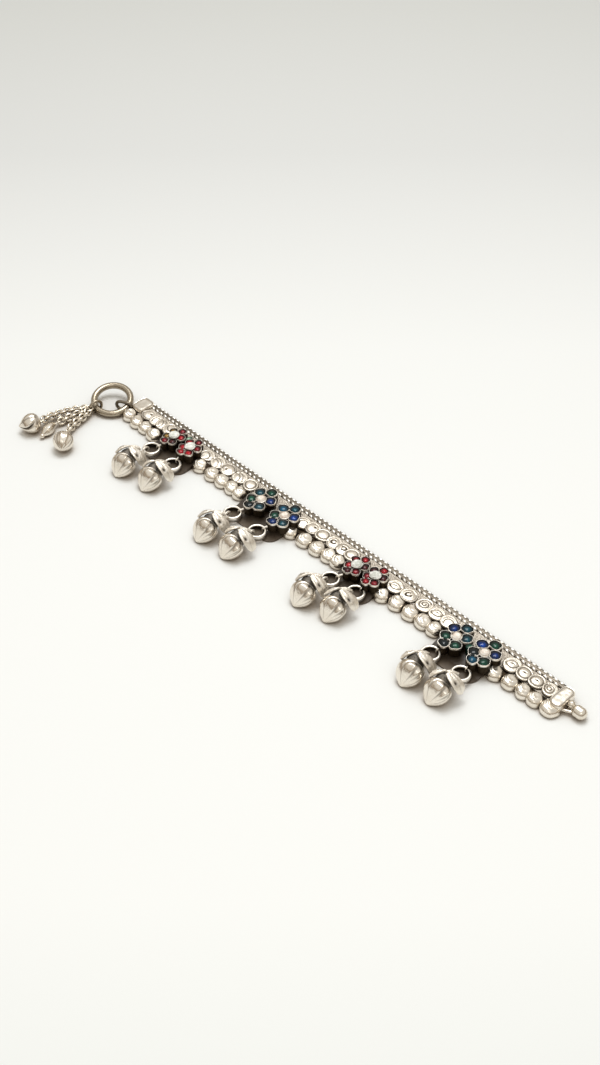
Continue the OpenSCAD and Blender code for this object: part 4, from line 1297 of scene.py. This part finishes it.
def fill_ramp(node, tones):
    """Gives a colour ramp its tones, from its first place to its last."""
    ramp = node.color_ramp
    for end in (0, -1):
        ramp.elements[end].position, ramp.elements[end].color = tones[end][0], (*tones[end][1], 1)
    for at, tone in tones[1:-1]:
        ramp.elements.new(at).color = (*tone, 1)


def paper(name):
    """White paper painted darker from front to back, a painted falloff of the light, with a painted warm
    shade where the anklet nearly touches it.
    """
    finish, shader, place = new_finish(name, Roughness=0.8)
    turned_place = add_node(finish, "ShaderNodeMapping", Rotation=(0, 0, math.radians(-45)))
    join(finish, place, turned_place.inputs["Vector"])
    apart = finish.node_tree.nodes.new("ShaderNodeSeparateXYZ")
    join(finish, turned_place.outputs[0], apart.inputs[0])
    tones = finish.node_tree.nodes.new("ShaderNodeValToRGB")
    fill_ramp(tones, PAINTED_FALLOFF_TONES)
    # painted falloff: the paper's tone darkens towards the back
    far = spread(finish, apart.outputs["Y"], From_Min=-0.2, From_Max=0.47)
    join(finish, far, tones.inputs["Fac"])
    shaded = spread(finish, shut_in(finish, 0.009, 8), From_Min=0.1, From_Max=0.8, To_Min=1.0, To_Max=0.0)
    colour = blend_colours(finish, shaded, tones.outputs["Color"], PAPER_SHADE)
    join(finish, colour, shader.inputs["Base Color"])
    return finish


surface = bpy.data.meshes.new("white_surface")
corners = [(-1, -1), (1, -1), (1, 1), (-1, 1)]
surface.from_pydata([(x * PAPER_HALF, y * PAPER_HALF, 0) for x, y in corners], [], [(0, 1, 2, 3)])
surface.materials.append(paper("white_paper"))
floor = bpy.data.objects.new("white_surface", surface)
bpy.context.scene.collection.objects.link(floor)
print("the paper is", 2 * PAPER_HALF, "m wide")

# %% Lights
def soft_light(name, place, size, power, colour):
    """A square soft light that faces the anklet."""
    lamp = bpy.data.lights.new(name, "AREA")
    lamp.shape, lamp.size, lamp.energy, lamp.color = "SQUARE", size, power, colour
    light = bpy.data.objects.new(name, lamp)
    light.location = place
    light.rotation_euler = (-Vector(place)).to_track_quat("-Z", "Y").to_euler()
    bpy.context.scene.collection.objects.link(light)


soft_light("key_light", (-0.15, 0.2, 0.87), 0.42, 4.7, (0.98, 0.99, 1.0))
soft_light("front_light", (0.5, -0.5, 0.8), 0.35, 0.6, (1.0, 0.97, 0.93))
ROOM_TONES = [(0.05, (0.14, 0.085, 0.04)), (0.2, (0.36, 0.265, 0.165)), (0.38, (0.92, 0.86, 0.77)),
              (0.75, (1.0, 0.98, 0.925))]
room = bpy.data.worlds.new("white_room")
bpy.context.scene.world = room
room.use_nodes = True
nodes, wires = room.node_tree.nodes, room.node_tree.links
look, height, ramp = (nodes.new("ShaderNode" + kind)
                      for kind in ("TexCoord", "SeparateXYZ", "ValToRGB"))
fill_ramp(ramp, ROOM_TONES)
wires.new(look.outputs["Generated"], height.inputs[0])
wires.new(height.outputs["Z"], ramp.inputs["Fac"])
wires.new(ramp.outputs["Color"], nodes["Background"].inputs["Color"])
nodes["Background"].inputs["Strength"].default_value = 0.77
print("tones of the room:", len(ROOM_TONES))

# %% [markdown]
# ## The camera
# The photograph looks down at the anklet from its front right, at about 44 degrees. The
# place and the lens were worked out from known points of the anklet, so that the same
# points fall on the same spots of the picture.

# %% Camera
CAMERA_AT = to_metres([390.26, -297.94, 392.16])[0]
LOOKING = (-0.5124, 0.5086, -0.6919)
lens = bpy.data.cameras.new("portrait")
lens.sensor_fit, lens.sensor_width, lens.lens = "HORIZONTAL", 36.0, 90.0
lens.clip_start, lens.clip_end = 0.01, 20
camera = bpy.data.objects.new("portrait", lens)
camera.location = CAMERA_AT
camera.rotation_euler = Vector(LOOKING).to_track_quat("-Z", "Y").to_euler()
bpy.context.scene.collection.objects.link(camera)
bpy.context.scene.camera = camera
bpy.context.scene.view_settings.view_transform = "Standard"
print("camera at", [round(float(v), 3) for v in CAMERA_AT])

# %% [markdown]
# ## The count of faces
# The dressed anklet is meant to keep the solid model's size. The last line prints how many faces the dressed
# pieces have.

# %% Finish
print("faces made:", sum(made.values()))
